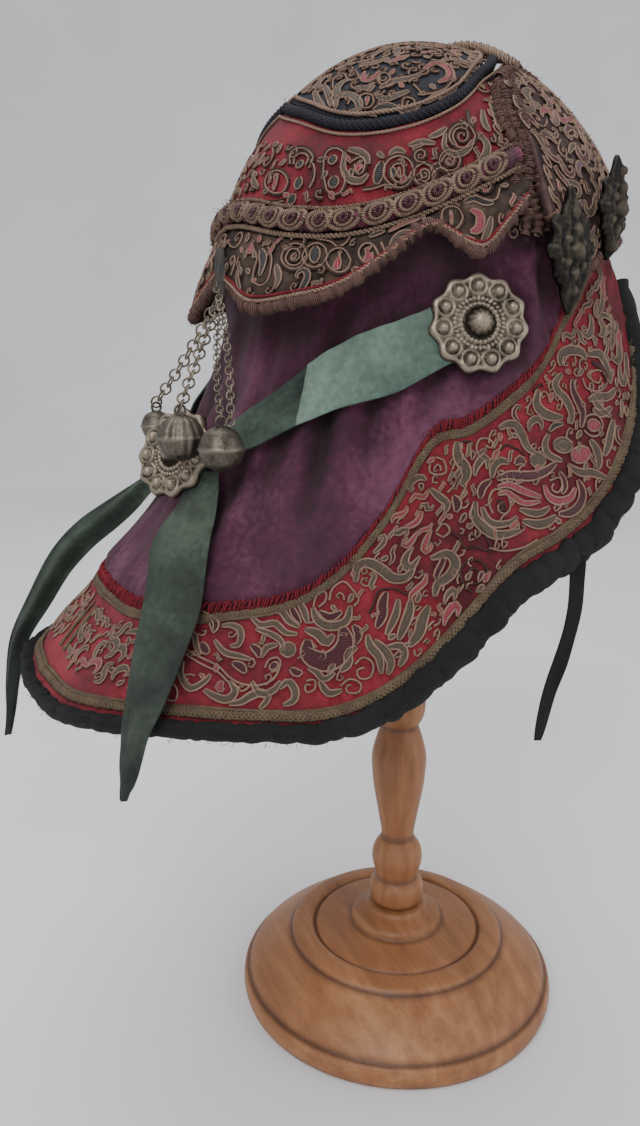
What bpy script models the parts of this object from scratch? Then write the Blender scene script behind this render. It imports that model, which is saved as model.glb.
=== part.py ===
"""Child's embroidered wind hat with a neck cape, on a plain turned display stand.

The hat's face opening looks along -Y and +Z is up. The origin is the centre of the stand's underside.
All tables and named sizes are in millimetres, and MM turns them into metres.
A wearer's-right piece lies at -X, and its left twin is its mirror image at +X.
"""

from math import atan2, cos, pi, radians, sin

import bmesh
import bpy
from mathutils import Matrix, Vector

MM = 0.001
COLLECTION_NAME = "embroidered_hat"

# Crown: a slightly pointed dome on an oval, whose base ring rises towards the brow
CROWN_HALF_WIDTH = 75.0
CROWN_HALF_LENGTH = 79.0
CROWN_HEIGHT = 80.0
CROWN_BASE = 341.0
CROWN_ROUNDNESS = 1.85
RING_SLOPE = 0.158

# Walls and clearances
CLOTH = 2.0
THIN_CLOTH = 1.2
RIBBON_CLOTH = 1.0
PADDED_CLOTH = 3.4
GAP = 0.4
LAYER_GAP = 0.8
SEAM = 0.8
HEAD_SEAM = 1.2
BINDING_RADIUS = 4.2
ROLL_RADIUS = 3.0
TRIM_RADIUS = 1.6

# Cape: head is the ring under the crown, neck pulls the curve and hem is its outer edge.
# The share runs from the back seam (0) to the front edge beside the face (1).
CAPE = (
    # share  head x, y, z     neck x, y, z      hem x, y, z       border start
    (0.000,   0,  74, 329,    0,  90, 252,     0.0, 166.5, 178.5,    0.745),
    (0.120, -21,  71, 330,  -28,  88, 250,   -42.0, 160.0, 179.9,    0.745),
    (0.240, -39,  62, 331,  -52,  78, 246,   -71.8, 133.6, 181.8,    0.720),
    (0.360, -54,  50, 333,  -69,  62, 246,   -88.7, 104.4, 180.9,    0.664),
    (0.450, -62,  39, 335,  -77,  48, 248,   -98.3,  81.4, 181.3,    0.528),
    (0.530, -68,  28, 336,  -82,  34, 262,   -104.9,  61.1, 189.1,    0.396),
    (0.600, -72,  17, 338,  -84,  22, 275,   -108.8,  41.4, 203.8,    0.431),
    (0.660, -74,   8, 339,  -84,  10, 285,   -111.0,  21.0, 221.5,    0.436),
    (0.735, -75,  -5, 341,  -84,  -6, 290,   -106.9,  -1.8, 229.0,    0.367),
    (0.810, -74, -16, 343,  -82, -18, 300,   -103.8, -21.2, 237.9,    0.267),
    (0.870, -72, -26, 345,  -79, -30, 310,   -99.0, -38.5, 254.0,    0.195),
    (0.920, -69, -35, 347,  -74, -40, 322,   -90.0, -51.5, 274.0,    0.136),
    (0.960, -66, -42, 348,  -69, -48, 335,   -80.0, -55.5, 300.0,    0.079),
    (1.000, -62, -47, 349,  -63, -51, 343,   -68.0, -56.0, 325.0,    0.000),
)
CAPE_END = 0.975
HOOD_END = 0.93
CAPE_STRIPS = 45
HOOD_ROWS = 7
BORDER_ROWS = 4
BINDING_STRIPS = 45
BORDER_SEARCH_STEP = 0.004
FOLD_DEPTH = 2.4
FOLD_COUNT = 11

# Crown layers: rise is a share of the crown's height, and the azimuth runs from the back to the brow
PATCH_EDGE = (
    # azimuth  rise
    (0, 0.70),
    (20, 0.627),
    (42, 0.531),
    (60, 0.531),
    (75, 0.606),
    (90, 0.744),
    (120, 0.88),
    (180, 0.92),
)
ROLL_LINE = (
    # azimuth  rise
    (0, 0.287),
    (12, 0.266),
    (30, 0.202),
    (46, 0.170),
    (60, 0.191),
    (72, 0.244),
    (90, 0.351),
)
FLAP_EDGE = (
    # azimuth  level  flare
    (0, 347, 4),
    (12, 340, 7),
    (24, 333, 13),
    (36, 333, 14),
    (46, 335, 12),
    (56, 343, 9),
    (66, 351, 7),
    (77, 340, 9),
    (83, 347, 7),
    (90, 357, 5),
)
BACK_LAYER_END = 90.0
PATCH_SETBACK = 0.028
BAND_TOP_SETBACK = 0.034
ROLL_SETBACK = 0.058
FLAP_BULGE = 2.2
CROWN_STEPS = 29
CAP_RINGS = 9
PATCH_RINGS = 6
BAND_ROWS = 4
FLAP_STRIPS = 39
FLAP_ROWS = (0.0, 0.35, 0.7, 1.0)
FOREHEAD_STRIPS = 25
FOREHEAD_ROWS = 6
FLARE_START = 0.35
CAP_RING_SPACING = 1.6
FOREHEAD_BAND = (
    # azimuth  bottom height  top rise  standoff of the lower edge
    (95, 349, 0.71, 4.8),
    (103, 331, 0.76, 4.8),
    (110, 334, 0.78, 4.8),
    (120, 343.5, 0.78, 4.0),
    (135, 346, 0.77, 2.0),
    (150, 348, 0.76, 1.2),
    (180, 350, 0.75, 1.0),
)

# Metal discs: a ring of bosses on a scalloped plate with a domed centre
DISC_RADIUS = 17.0
DISC_BOSSES = 11
DISC_STEPS_PER_BOSS = 3
DISC_RINGS = (
    # reach  height  boss height
    (0.16, 5.8, 0.0),
    (0.34, 2.4, 0.0),
    (0.52, 1.8, 0.3),
    (0.73, 1.7, 2.6),
    (0.92, 1.5, 0.3),
    (1.00, 0.0, 0.0),
)
DISC_SCALLOP = 0.05
PLATE_BACK = 1.2
DISC_TIP = 0.6
LEAF_TIP = 0.8

# Ornaments: embossed leaves, wide at mid height and pointed at both ends
LEAF_OUTLINE = (
    # turn from the tip  reach
    (0, 1.00),
    (22, 0.66),
    (45, 0.70),
    (65, 0.56),
    (90, 0.62),
    (118, 0.50),
    (140, 0.58),
    (160, 0.62),
    (180, 0.96),
)
LEAF_RINGS = (
    # reach  height
    (0.30, 4.2),
    (0.55, 2.0),
    (0.80, 2.8),
    (1.00, 0.0),
)
LEAF_STEPS = 20
ORNAMENTS = (
    # name, azimuth, centre height, half height, width share, lean out in degrees, standoff
    ("ornament_temple", 100, 338, 23.0, 0.85, 2, 10.4),
    ("ornament_brow", 114, 354, 19.0, 0.95, -3, 12.6),
)

# Green ribbon, from the side disc round to the back disc, on the cape's own surface
RIBBON = (
    # share  drop of the middle  half width
    (0.540, 0.185, 11.5),
    (0.470, 0.190, 12.0),
    (0.400, 0.200, 12.0),
    (0.330, 0.222, 11.5),
    (0.260, 0.260, 11.0),
    (0.190, 0.318, 10.0),
    (0.120, 0.375, 8.5),
    (0.060, 0.405, 8.0),
)
RIBBON_STANDOFF = 1.6
TAIL_RIGHT = (
    # middle x, y, z         edge dx, dy, dz    half width
    (-30.2, 104.3, 253.4,    0.85, 0.45, -0.10,    7.4),
    (-35.5, 109.5, 245.7,    0.82, 0.56, -0.07,    11.5),
    (-42.1, 115.4, 236.7,    0.80, 0.60, -0.05,    12.6),
    (-51.9, 121.5, 221.7,    0.80, 0.60, -0.05,    12.0),
    (-60.2, 128.8, 206.9,    0.80, 0.60, -0.05,    10.3),
    (-67.5, 135.1, 194.5,    0.80, 0.60, -0.05,    8.4),
    (-72.6, 141.0, 183.6,    0.80, 0.60, -0.05,    6.3),
    (-74.5, 143.8, 172.0,    0.80, 0.60, -0.05,    3.9),
    (-75.0, 146.0, 162.5,    0.80, 0.60, -0.05,    1.2),
)
TAIL_LEFT = (
    # middle x, y, z         edge dx, dy, dz    half width
    (6.0, 107.2, 259.0,    0.30, -0.45, 0.84,    5.0),
    (17.0, 108.5, 256.0,    0.30, -0.45, 0.84,    5.6),
    (26.5, 114.0, 248.5,    0.40, -0.20, 0.88,    6.2),
    (34.5, 124.1, 238.5,    0.45, 0.20, 0.86,    6.4),
    (39.3, 134.6, 229.5,    0.45, 0.40, 0.79,    6.4),
    (42.3, 144.8, 218.0,    0.50, 0.55, 0.66,    6.2),
    (44.9, 154.2, 201.7,    0.55, 0.72, 0.42,    5.5),
    (46.4, 163.4, 185.2,    0.55, 0.80, 0.20,    4.2),
    (44.6, 167.5, 168.2,    0.50, 0.86, 0.00,    2.9),
    (42.0, 169.5, 154.0,    0.50, 0.86, 0.00,    1.8),
    (40.0, 171.0, 144.8,    0.50, 0.86, 0.00,    1.0),
)

# Ties: a flat tape from the hem below each front corner
TIE = (
    # middle x, y, z
    (-105.6, -9, 230.0),
    (-106.3, -8, 216),
    (-106, -4, 200),
    (-105, 0, 186),
    (-104, 3, 169),
)
TIE_HALF_WIDTH = 2.6
TIE_EDGE = (0.25, 0.97, 0.0)
TIE_STRIPS = 9
TAIL_STRIPS = 15
RIBBON_STRIPS = 19

# Bells and the four chains that carry them
BELLS = (
    # name, x, y, z, radius
    ("bell_right", -49.5, 101.0, 272.2, 7.9),
    ("bell_middle", -34.6, 110.9, 275.3, 8.2),
    ("bell_left", 24.3, 104.2, 275.5, 6.4),
)
BELL_STEPS = 10
BELL_PROFILE = (
    # radius share  height share
    (0.00, 1.22),
    (0.20, 1.20),
    (0.22, 0.98),
    (0.60, 0.80),
    (0.92, 0.40),
    (0.98, 0.08),
    (1.06, 0.05),
    (1.06, -0.05),
    (0.98, -0.08),
    (0.88, -0.48),
    (0.55, -0.84),
    (0.00, -1.00),
)
CHAIN_TAB = (-6.0, 85.7, 334.0)
CHAIN_TAB_SIZE = (9.0, 1.6, 17.0)
CHAINS = (
    # name, radius, top x, y, z, mid x, y, z, foot x, y, z
    ("chain_1", 2.0, -1.8, 86.1, 323.6, 9, 93, 305, 24.0, 104.2, 285.2),
    ("chain_2", 1.3, -5.6, 86.1, 323.8, -17, 97, 307, -34.6, 110.7, 286.4),
    ("chain_3", 1.3, -8.8, 86.1, 323.8, -24, 95, 306, -49.2, 101, 283.0),
    ("chain_4", 1.3, -8.8, 88.3, 330.0, -36, 92, 309, -52.4, 98.6, 280.5),
)
CHAIN_POINTS = 7

# Back disc: it hangs turned towards the wearer's right
BACK_DISC_CENTRE = (-15.2, 107.9, 268.0)
BACK_DISC_NORMAL = (-0.46, 0.80, 0.38)
RIBBON_KNOT_RADIUS = 7.2
RIBBON_KNOT_THICKNESS = 6.2
KNOT_SEGMENTS = 10
KNOT_RINGS = 7
SIDE_DISC_PLACE = (0.610, 0.200)
SIDE_DISC_STANDOFF = 2.2

# Stand, turned: each profile runs from its top to its foot
BASE_PROFILE = (
    # radius  height
    (0.0, 43.4),
    (13.4, 43.4),
    (14.6, 41.0),
    (21.5, 38.0),
    (22.0, 34.0),
    (38.6, 32.2),
    (40.0, 29.8),
    (41.6, 32.6),
    (50.0, 31.0),
    (51.5, 28.6),
    (60.0, 23.4),
    (70.5, 15.2),
    (72.6, 11.4),
    (74.6, 10.4),
    (75.4, 5.0),
    (73.8, 0.0),
    (0.0, 0.0),
)
POST_PROFILE = (
    # radius  height
    (0.0, 381.6),
    (9.0, 381.6),
    (9.0, 166.0),
    (8.2, 156.0),
    (11.0, 152.0),
    (12.2, 145.5),
    (11.0, 139.0),
    (8.6, 135.5),
    (10.6, 130.0),
    (13.2, 120.0),
    (12.2, 106.0),
    (8.8, 87.0),
    (7.4, 78.5),
    (11.4, 73.0),
    (12.4, 66.5),
    (9.6, 57.6),
    (12.9, 54.0),
    (13.0, 48.0),
    (11.6, 43.8),
    (0.0, 43.8),
)
HEAD_PROFILE = (
    # radius  height
    (0.0, 418.4),
    (12.0, 416.6),
    (22.0, 411.0),
    (29.0, 402.0),
    (31.0, 392.0),
    (26.0, 384.0),
    (12.0, 382.0),
    (0.0, 382.0),
)
STAND_STEPS = 26
POST_STEPS = 16

MATERIALS = {
    # name: red, green, blue, roughness, metallic
    "wood": (0.42, 0.23, 0.12, 0.5, 0.0),
    "purple_silk": (0.12, 0.035, 0.075, 0.6, 0.0),
    "red_satin": (0.40, 0.03, 0.05, 0.6, 0.0),
    "navy_satin": (0.02, 0.025, 0.05, 0.6, 0.0),
    "gold_embroidery": (0.30, 0.20, 0.12, 0.7, 0.0),
    "black_binding": (0.012, 0.012, 0.018, 0.9, 0.0),
    "tan_trim": (0.35, 0.25, 0.16, 0.8, 0.0),
    "green_ribbon": (0.14, 0.22, 0.17, 0.7, 0.0),
    "aged_silver": (0.22, 0.19, 0.16, 0.4, 0.9),
    "dark_metal": (0.08, 0.07, 0.05, 0.5, 0.8),
    "grey_tape": (0.25, 0.24, 0.22, 0.8, 0.0),
}


def clear_scene():
    """Remove every object, so that the script can run in any file."""
    for item in list(bpy.data.objects):
        bpy.data.objects.remove(item, do_unlink=True)


def make_materials():
    """Make one Principled material for each row of MATERIALS."""
    made = {}
    for name, (red, green, blue, roughness, metallic) in MATERIALS.items():
        material = bpy.data.materials.new(name)
        material.use_nodes = True
        shader = material.node_tree.nodes["Principled BSDF"]
        shader.inputs["Base Color"].default_value = (red, green, blue, 1.0)
        shader.inputs["Roughness"].default_value = roughness
        shader.inputs["Metallic"].default_value = metallic
        made[name] = material
    return made


def own_material(materials, kind, node):
    """Give a node its own copy of a material."""
    material = materials[kind].copy()
    material.name = node + "_" + kind
    return material


def smooth_row(table, share):
    """Read a table at a share between its rows, along a smooth curve through them."""
    count = len(table)
    index = 0
    while index < count - 2 and share >= table[index + 1][0]:
        index += 1
    low, high = table[index], table[index + 1]
    step = high[0] - low[0]
    part = min(max((share - low[0]) / step, 0.0), 1.0)

    def slope(row, column):
        before = table[max(row - 1, 0)]
        after = table[min(row + 1, count - 1)]
        return (after[column] - before[column]) / (after[0] - before[0])

    values = []
    for column in range(1, len(low)):
        start = low[column] * (2 * part**3 - 3 * part**2 + 1)
        start_slope = slope(index, column) * step * (part**3 - 2 * part**2 + part)
        end = high[column] * (3 * part**2 - 2 * part**3)
        end_slope = slope(index + 1, column) * step * (part**3 - part**2)
        values.append(start + start_slope + end + end_slope)
    return values


def straight_row(table, share):
    """Read a table at a share between its rows, along straight lines."""
    share = min(max(share, table[0][0]), table[-1][0])
    for low, high in zip(table, table[1:]):
        if share <= high[0]:
            part = (share - low[0]) / (high[0] - low[0])
            return [a + (b - a) * part for a, b in zip(low[1:], high[1:])]
    return list(table[-1][1:])


def cape_point(share, drop):
    """Return the cape's outer surface, without folds, from the head ring (0) to the hem (1)."""
    row = smooth_row(CAPE, abs(share))
    head, neck, hem = Vector(row[0:3]), Vector(row[3:6]), Vector(row[6:9])
    rest = 1.0 - drop
    point = head * rest * rest + neck * 2 * drop * rest + hem * drop * drop
    if share < 0:
        point.x = -point.x
    return point


def cape_normal(share, drop):
    """Return the cape's outward direction."""
    step = 0.01
    low = max(drop - step, 0.0)
    high = min(drop + step, 1.0)
    down = cape_point(share, high) - cape_point(share, low)
    before = cape_point(max(share - step, -1.0), drop)
    after = cape_point(min(share + step, 1.0), drop)
    return down.cross(after - before).normalized()


def cape_length(share):
    """Return the length of the cape's curve from the head ring to the hem."""
    steps = 12
    points = [cape_point(share, index / steps) for index in range(steps + 1)]
    return sum((b - a).length for a, b in zip(points, points[1:]))


def border_start(share):
    """Return the drop at which the red border begins."""
    return smooth_row(CAPE, abs(share))[9]


def cape_offset(share, drop, offset):
    """Return a point that stands off the cape's outer surface."""
    return cape_point(share, drop) + cape_normal(share, drop) * offset


def hood_point(share, drop):
    """Return the purple hood's outer surface, with its soft vertical folds."""
    part = min(drop / max(border_start(share), 0.05), 1.0)
    swell = sin(pi * part) ** 2
    wave = 0.5 * (cos(2 * pi * FOLD_COUNT * share) - 1.0)
    return cape_offset(share, drop, FOLD_DEPTH * swell * wave)


def crown_point(azimuth, rise, offset=0.0):
    """Return a point on the crown: azimuth 0 is the back, 90 the wearer's right, 180 the brow."""
    turn = radians(azimuth)
    lift = min(max(rise, 0.0), 1.0)
    reach = max(1.0 - lift**CROWN_ROUNDNESS, 0.0) ** (1.0 / CROWN_ROUNDNESS)
    side = offset * (1.0 - lift) ** 0.5
    x = -(CROWN_HALF_WIDTH * reach + side) * sin(turn)
    y = (CROWN_HALF_LENGTH * reach + side) * cos(turn)
    z = CROWN_BASE + CROWN_HEIGHT * rise + offset * lift - RING_SLOPE * y * (1.0 - lift)
    return Vector((x, y, z))


def crown_normal(azimuth, rise):
    """Return the crown's outward direction."""
    step = 0.02
    down = crown_point(azimuth, rise - step) - crown_point(azimuth, rise + step)
    across = crown_point(azimuth + 2.0, rise) - crown_point(azimuth - 2.0, rise)
    return down.cross(across).normalized()


def crown_offset(azimuth, rise, offset):
    """Return a point that stands off the crown along its outward direction."""
    return crown_point(azimuth, rise) + crown_normal(azimuth, rise) * offset


def rise_at(azimuth, height):
    """Return the rise at which the crown, or the wall below it, has a height."""
    low, high = -0.6, 1.0
    for _ in range(30):
        middle = 0.5 * (low + high)
        if crown_point(azimuth, middle).z < height:
            low = middle
        else:
            high = middle
    return 0.5 * (low + high)


def spread(start, end, count):
    """Return evenly spaced values, both ends included."""
    return [start + (end - start) * index / (count - 1) for index in range(count)]


def add_mesh_object(name, mesh, material, collection):
    """Link a mesh as a node with its own material."""
    mesh.materials.append(material)
    item = bpy.data.objects.new(name, mesh)
    collection.objects.link(item)
    return item


def grid_mesh(name, rows):
    """Make an open surface from rows of points in millimetres, facing out of the hat."""
    shape = bmesh.new()
    verts = [[shape.verts.new(point * MM) for point in row] for row in rows]
    for left, right in zip(verts, verts[1:]):
        for index in range(len(left) - 1):
            shape.faces.new((left[index], left[index + 1], right[index + 1], right[index]))
    bmesh.ops.remove_doubles(shape, verts=shape.verts, dist=0.001 * MM)
    mesh = bpy.data.meshes.new(name)
    shape.to_mesh(mesh)
    shape.free()
    return mesh


def add_cloth(name, rows, thickness, material, collection):
    """Make a cloth wall: the rows are its outer face, and its thickness goes inwards."""
    item = add_mesh_object(name, grid_mesh(name, rows), material, collection)
    shell = item.modifiers.new("thickness", "SOLIDIFY")
    shell.thickness = thickness * MM
    shell.offset = -1.0
    return item


def add_tube(name, points, radius, material, collection, closed=False):
    """Make a round roll, cord or chain envelope along points in millimetres."""
    curve = bpy.data.curves.new(name, "CURVE")
    curve.dimensions = "3D"
    curve.bevel_depth = radius * MM
    curve.bevel_resolution = 1
    curve.use_fill_caps = True
    line = curve.splines.new("POLY")
    line.points.add(len(points) - 1)
    for target, point in zip(line.points, points):
        target.co = (*(point * MM), 1.0)
    line.use_cyclic_u = closed
    curve.materials.append(material)
    item = bpy.data.objects.new(name, curve)
    collection.objects.link(item)
    return item


def add_turned(name, profile, steps, material, collection):
    """Make a turned solid from a profile of radius and height, top to foot."""
    mesh = bpy.data.meshes.new(name)
    verts = [(radius * MM, 0.0, height * MM) for radius, height in profile]
    edges = [(index, index + 1) for index in range(len(verts) - 1)]
    mesh.from_pydata(verts, edges, [])
    item = add_mesh_object(name, mesh, material, collection)
    turn = item.modifiers.new("turning", "SCREW")
    turn.steps = steps
    turn.render_steps = steps
    turn.use_merge_vertices = True
    turn.merge_threshold = 0.00001
    turn.use_smooth_shade = True
    return item


def add_relief(name, outline, rings, centre_height, frame, material, collection):
    """Make a metal plate with a raised face and a flat back, from rings that copy its outline.

    outline gives the reach for each step; each ring has a reach share and a height for each step.
    """
    shape = bmesh.new()
    count = len(outline)
    layers = []
    for share, heights in rings:
        layer = []
        for index, (turn, reach) in enumerate(outline):
            place = Vector((sin(turn) * reach * share, cos(turn) * reach * share, heights[index]))
            layer.append(shape.verts.new(frame @ (place * MM)))
        layers.append(layer)
    top = shape.verts.new(frame @ (Vector((0.0, 0.0, centre_height)) * MM))
    back = []
    for turn, reach in outline:
        place = Vector((sin(turn) * reach, cos(turn) * reach, -PLATE_BACK))
        back.append(shape.verts.new(frame @ (place * MM)))
    for index in range(count):
        following = (index + 1) % count
        shape.faces.new((top, layers[0][following], layers[0][index]))
        for inner, outer in zip(layers, layers[1:] + [back]):
            shape.faces.new((inner[index], inner[following], outer[following], outer[index]))
    shape.faces.new(back)
    bmesh.ops.recalc_face_normals(shape, faces=shape.faces)
    mesh = bpy.data.meshes.new(name)
    shape.to_mesh(mesh)
    shape.free()
    return add_mesh_object(name, mesh, material, collection)


def facing_frame(centre, normal, up):
    """Return a matrix in metres with Z along the normal and Y as near up as it can be."""
    forward = Vector(normal).normalized()
    right = Vector(up).cross(forward).normalized()
    above = forward.cross(right)
    turn = Matrix((right, above, forward)).transposed().to_4x4()
    return Matrix.Translation(Vector(centre) * MM) @ turn


def mirrored(point):
    """Return a point's mirror image on the wearer's other side."""
    return Vector((-point[0], point[1], point[2]))


def add_stand(materials, collection):
    """Make the turned stand: base, post and the hidden head inside the crown."""
    add_turned("stand_base", BASE_PROFILE, STAND_STEPS, own_material(materials, "wood", "base"), collection)
    add_turned("stand_post", POST_PROFILE, POST_STEPS, own_material(materials, "wood", "post"), collection)
    add_turned("stand_head", HEAD_PROFILE, POST_STEPS, own_material(materials, "wood", "head"), collection)


def add_crown(materials, collection):
    """Make the crown's cap and its sewn layers."""
    round_crown = spread(-180, 180, CROWN_STEPS)
    rows = [[crown_point(azimuth, rise) for rise in ring_rises(1.0, 0.0, CAP_RINGS)] for azimuth in round_crown]
    add_cloth("crown_cap", rows, CLOTH, own_material(materials, "purple_silk", "cap"), collection)

    rows = []
    for azimuth in round_crown:
        edge = smooth_row(PATCH_EDGE, abs(azimuth))[0] + PATCH_SETBACK
        rises = ring_rises(1.0, edge, PATCH_RINGS)
        rows.append([crown_offset_apex(azimuth, rise, LAYER_GAP + THIN_CLOTH) for rise in rises])
    add_cloth("crown_patch", rows, THIN_CLOTH, own_material(materials, "navy_satin", "patch"), collection)

    ring = []
    for azimuth in round_crown[:-1]:
        edge = smooth_row(PATCH_EDGE, abs(azimuth))[0]
        ring.append(crown_offset(azimuth, edge, TRIM_RADIUS + LAYER_GAP))
    add_tube("patch_cord", ring, TRIM_RADIUS, own_material(materials, "black_binding", "cord"), collection, True)

    azimuths = spread(-BACK_LAYER_END, BACK_LAYER_END, CROWN_STEPS)
    rows = []
    for azimuth in azimuths:
        top = smooth_row(PATCH_EDGE, abs(azimuth))[0] - BAND_TOP_SETBACK
        bottom = smooth_row(ROLL_LINE, abs(azimuth))[0] + ROLL_SETBACK
        rises = spread(top, bottom, BAND_ROWS)
        rows.append([crown_offset(azimuth, rise, LAYER_GAP + THIN_CLOTH) for rise in rises])
    add_cloth("red_band", rows, THIN_CLOTH, own_material(materials, "red_satin", "band"), collection)

    roll = []
    for azimuth in azimuths:
        rise = smooth_row(ROLL_LINE, abs(azimuth))[0]
        roll.append(crown_offset(azimuth, rise, ROLL_RADIUS + GAP))
    add_tube("padded_roll", roll, ROLL_RADIUS, own_material(materials, "tan_trim", "roll"), collection)


def ring_rises(top, edge, count):
    """Return rises from the top down to an edge, closer together where the crown is flat."""
    start = (1.0 - top) ** (1.0 / CAP_RING_SPACING)
    end = (1.0 - edge) ** (1.0 / CAP_RING_SPACING)
    return [1.0 - step**CAP_RING_SPACING for step in spread(start, end, count)]


def crown_offset_apex(azimuth, rise, offset):
    """Stand off the crown, straight up at its very top, where its sides meet."""
    if rise > 0.999:
        return crown_point(azimuth, 1.0) + Vector((0.0, 0.0, offset))
    return crown_offset(azimuth, rise, offset)


def flap_point(azimuth, share):
    """Return the scalloped flap's outer face, from under the roll (0) to its edge (1)."""
    level, flare = smooth_row(FLAP_EDGE, abs(azimuth))
    rise = smooth_row(ROLL_LINE, abs(azimuth))[0] - ROLL_SETBACK
    top = crown_offset(azimuth, rise, LAYER_GAP + CLOTH)
    turn = radians(azimuth)
    y = (CROWN_HALF_LENGTH + flare) * cos(turn)
    x = -(CROWN_HALF_WIDTH + flare) * sin(turn)
    edge = Vector((x, y, level - RING_SLOPE * y))
    bulge = Vector((x, y, 0.0)).normalized() * FLAP_BULGE * sin(pi * share)
    return top.lerp(edge, share) + bulge


def forehead_point(azimuth, share):
    """Return the forehead band's outer face, from its top edge (0) to its lower edge (1)."""
    bottom, top, flare = smooth_row(FOREHEAD_BAND, abs(azimuth))
    low = rise_at(abs(azimuth), bottom)
    rise = top + (low - top) * share
    standoff = LAYER_GAP + PADDED_CLOTH + flare * max(share - FLARE_START, 0.0) / (1.0 - FLARE_START)
    return crown_offset(azimuth, rise, standoff)


def add_flap_and_forehead(materials, collection):
    """Make the scalloped flap round the back and the padded band over the forehead."""
    rows = []
    for azimuth in spread(-BACK_LAYER_END, BACK_LAYER_END, FLAP_STRIPS):
        rows.append([flap_point(azimuth, share) for share in FLAP_ROWS])
    add_cloth("scalloped_flap", rows, CLOTH, own_material(materials, "gold_embroidery", "flap"), collection)

    rows = []
    start = FOREHEAD_BAND[0][0]
    for azimuth in spread(start, 360 - start, FOREHEAD_STRIPS):
        near = azimuth if azimuth <= 180 else azimuth - 360
        rows.append([forehead_point(near, share) for share in spread(0.0, 1.0, FOREHEAD_ROWS)])
    material = own_material(materials, "gold_embroidery", "forehead")
    add_cloth("forehead_band", rows, PADDED_CLOTH, material, collection)


def distance_to_stretch(point, start, end):
    """Return the distance from a point to the straight stretch between two others."""
    along = end - start
    part = min(max((point - start).dot(along) / along.length_squared, 0.0), 1.0)
    return (point - start - along * part).length


def border_end(share, line):
    """Return the drop at which the border stops, clear of the binding along the given line."""
    drop = 1.0
    while drop > 0.1:
        middle = cape_offset(share, drop, -0.5 * CLOTH)
        nearest = min(distance_to_stretch(middle, a, b) for a, b in zip(line, line[1:]))
        if nearest > BINDING_RADIUS + 0.5 * CLOTH + GAP:
            return drop
        drop -= BORDER_SEARCH_STEP
    return drop


def add_cape(materials, collection):
    """Make the purple hood, the red border below it and the padded binding round its edge."""
    line = []
    for share in spread(-1.0, 1.0, BINDING_STRIPS):
        drop = 1.0 - BINDING_RADIUS / cape_length(share)
        line.append(cape_offset(share, drop, -0.5 * CLOTH))
    add_tube("edge_binding", line, BINDING_RADIUS, own_material(materials, "black_binding", "edge"), collection)

    shares = spread(-CAPE_END, CAPE_END, CAPE_STRIPS)
    rows = []
    for share in shares:
        if abs(share) > HOOD_END:
            continue
        length = cape_length(share)
        start, end = HEAD_SEAM / length, border_start(share) - SEAM / length
        rows.append([hood_point(share, drop) for drop in spread(start, end, HOOD_ROWS)])
    add_cloth("hood_body", rows, CLOTH, own_material(materials, "purple_silk", "hood"), collection)

    rows = []
    for share in shares:
        end = border_end(share, line)
        start = max(border_start(share), HEAD_SEAM / cape_length(share))
        rows.append([cape_point(share, drop) for drop in spread(start, end, BORDER_ROWS)])
    add_cloth("border_band", rows, CLOTH, own_material(materials, "red_satin", "border"), collection)


def add_discs(materials, collection):
    """Make the three discs with their ring of bosses."""
    steps = DISC_BOSSES * DISC_STEPS_PER_BOSS
    outline = []
    for index in range(steps):
        scallop = cos(2 * pi * index / DISC_STEPS_PER_BOSS)
        outline.append((2 * pi * index / steps, DISC_RADIUS * (1.0 + DISC_SCALLOP * scallop)))
    rings = []
    for reach, height, boss in DISC_RINGS:
        bumps = [0.5 + 0.5 * cos(2 * pi * index / DISC_STEPS_PER_BOSS) for index in range(steps)]
        rings.append((reach, [height + boss * bump for bump in bumps]))

    centre = cape_offset(*SIDE_DISC_PLACE, SIDE_DISC_STANDOFF)
    normal = cape_normal(*SIDE_DISC_PLACE)
    places = (
        ("disc_right", centre, normal),
        ("disc_left", mirrored(centre), mirrored(normal)),
        ("disc_back", Vector(BACK_DISC_CENTRE), Vector(BACK_DISC_NORMAL)),
    )
    for name, middle, outward in places:
        frame = facing_frame(middle, outward, (0.0, 0.0, 1.0))
        material = own_material(materials, "aged_silver", name)
        add_relief(name, outline, rings, DISC_RINGS[0][1] + DISC_TIP, frame, material, collection)


def add_ornaments(materials, collection):
    """Make the embossed leaves at the temples and over the brow, on both sides."""
    for name, azimuth, height, half_height, width, lean, standoff in ORNAMENTS:
        outline = []
        for index in range(LEAF_STEPS):
            turn = 2 * pi * index / LEAF_STEPS
            reach = straight_row(LEAF_OUTLINE, min(turn, 2 * pi - turn) * 180 / pi)[0] * half_height
            across, along = sin(turn) * reach * width, cos(turn) * reach
            outline.append((atan2(across, along), (across * across + along * along) ** 0.5))
        rings = [(reach, [rise] * LEAF_STEPS) for reach, rise in LEAF_RINGS]
        outward = crown_point(azimuth, 0.0) - Vector((0.0, 0.0, CROWN_BASE))
        outward.z = 0.0
        outward = outward.normalized()
        centre = crown_point(azimuth, rise_at(azimuth, height)) + outward * standoff
        normal = outward + Vector((0.0, 0.0, sin(radians(lean))))
        for side, sign in (("right", 1), ("left", -1)):
            place = centre if sign > 0 else mirrored(centre)
            facing = normal if sign > 0 else mirrored(normal)
            frame = facing_frame(place, facing, (0.0, 0.0, 1.0))
            node = name + "_" + side
            material = own_material(materials, "dark_metal", node)
            add_relief(node, outline, rings, LEAF_RINGS[0][1] + LEAF_TIP, frame, material, collection)


def strip_rows(table, count):
    """Return the rows of a free ribbon: its middle line, widened along its own edge direction."""
    keyed = [(index, *row) for index, row in enumerate(table)]
    rows = []
    for place in spread(0, len(table) - 1, count):
        row = smooth_row(keyed, place)
        middle, across, half = Vector(row[0:3]), Vector(row[3:6]).normalized(), row[6]
        rows.append([middle + across * half, middle, middle - across * half])
    return rows


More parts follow.
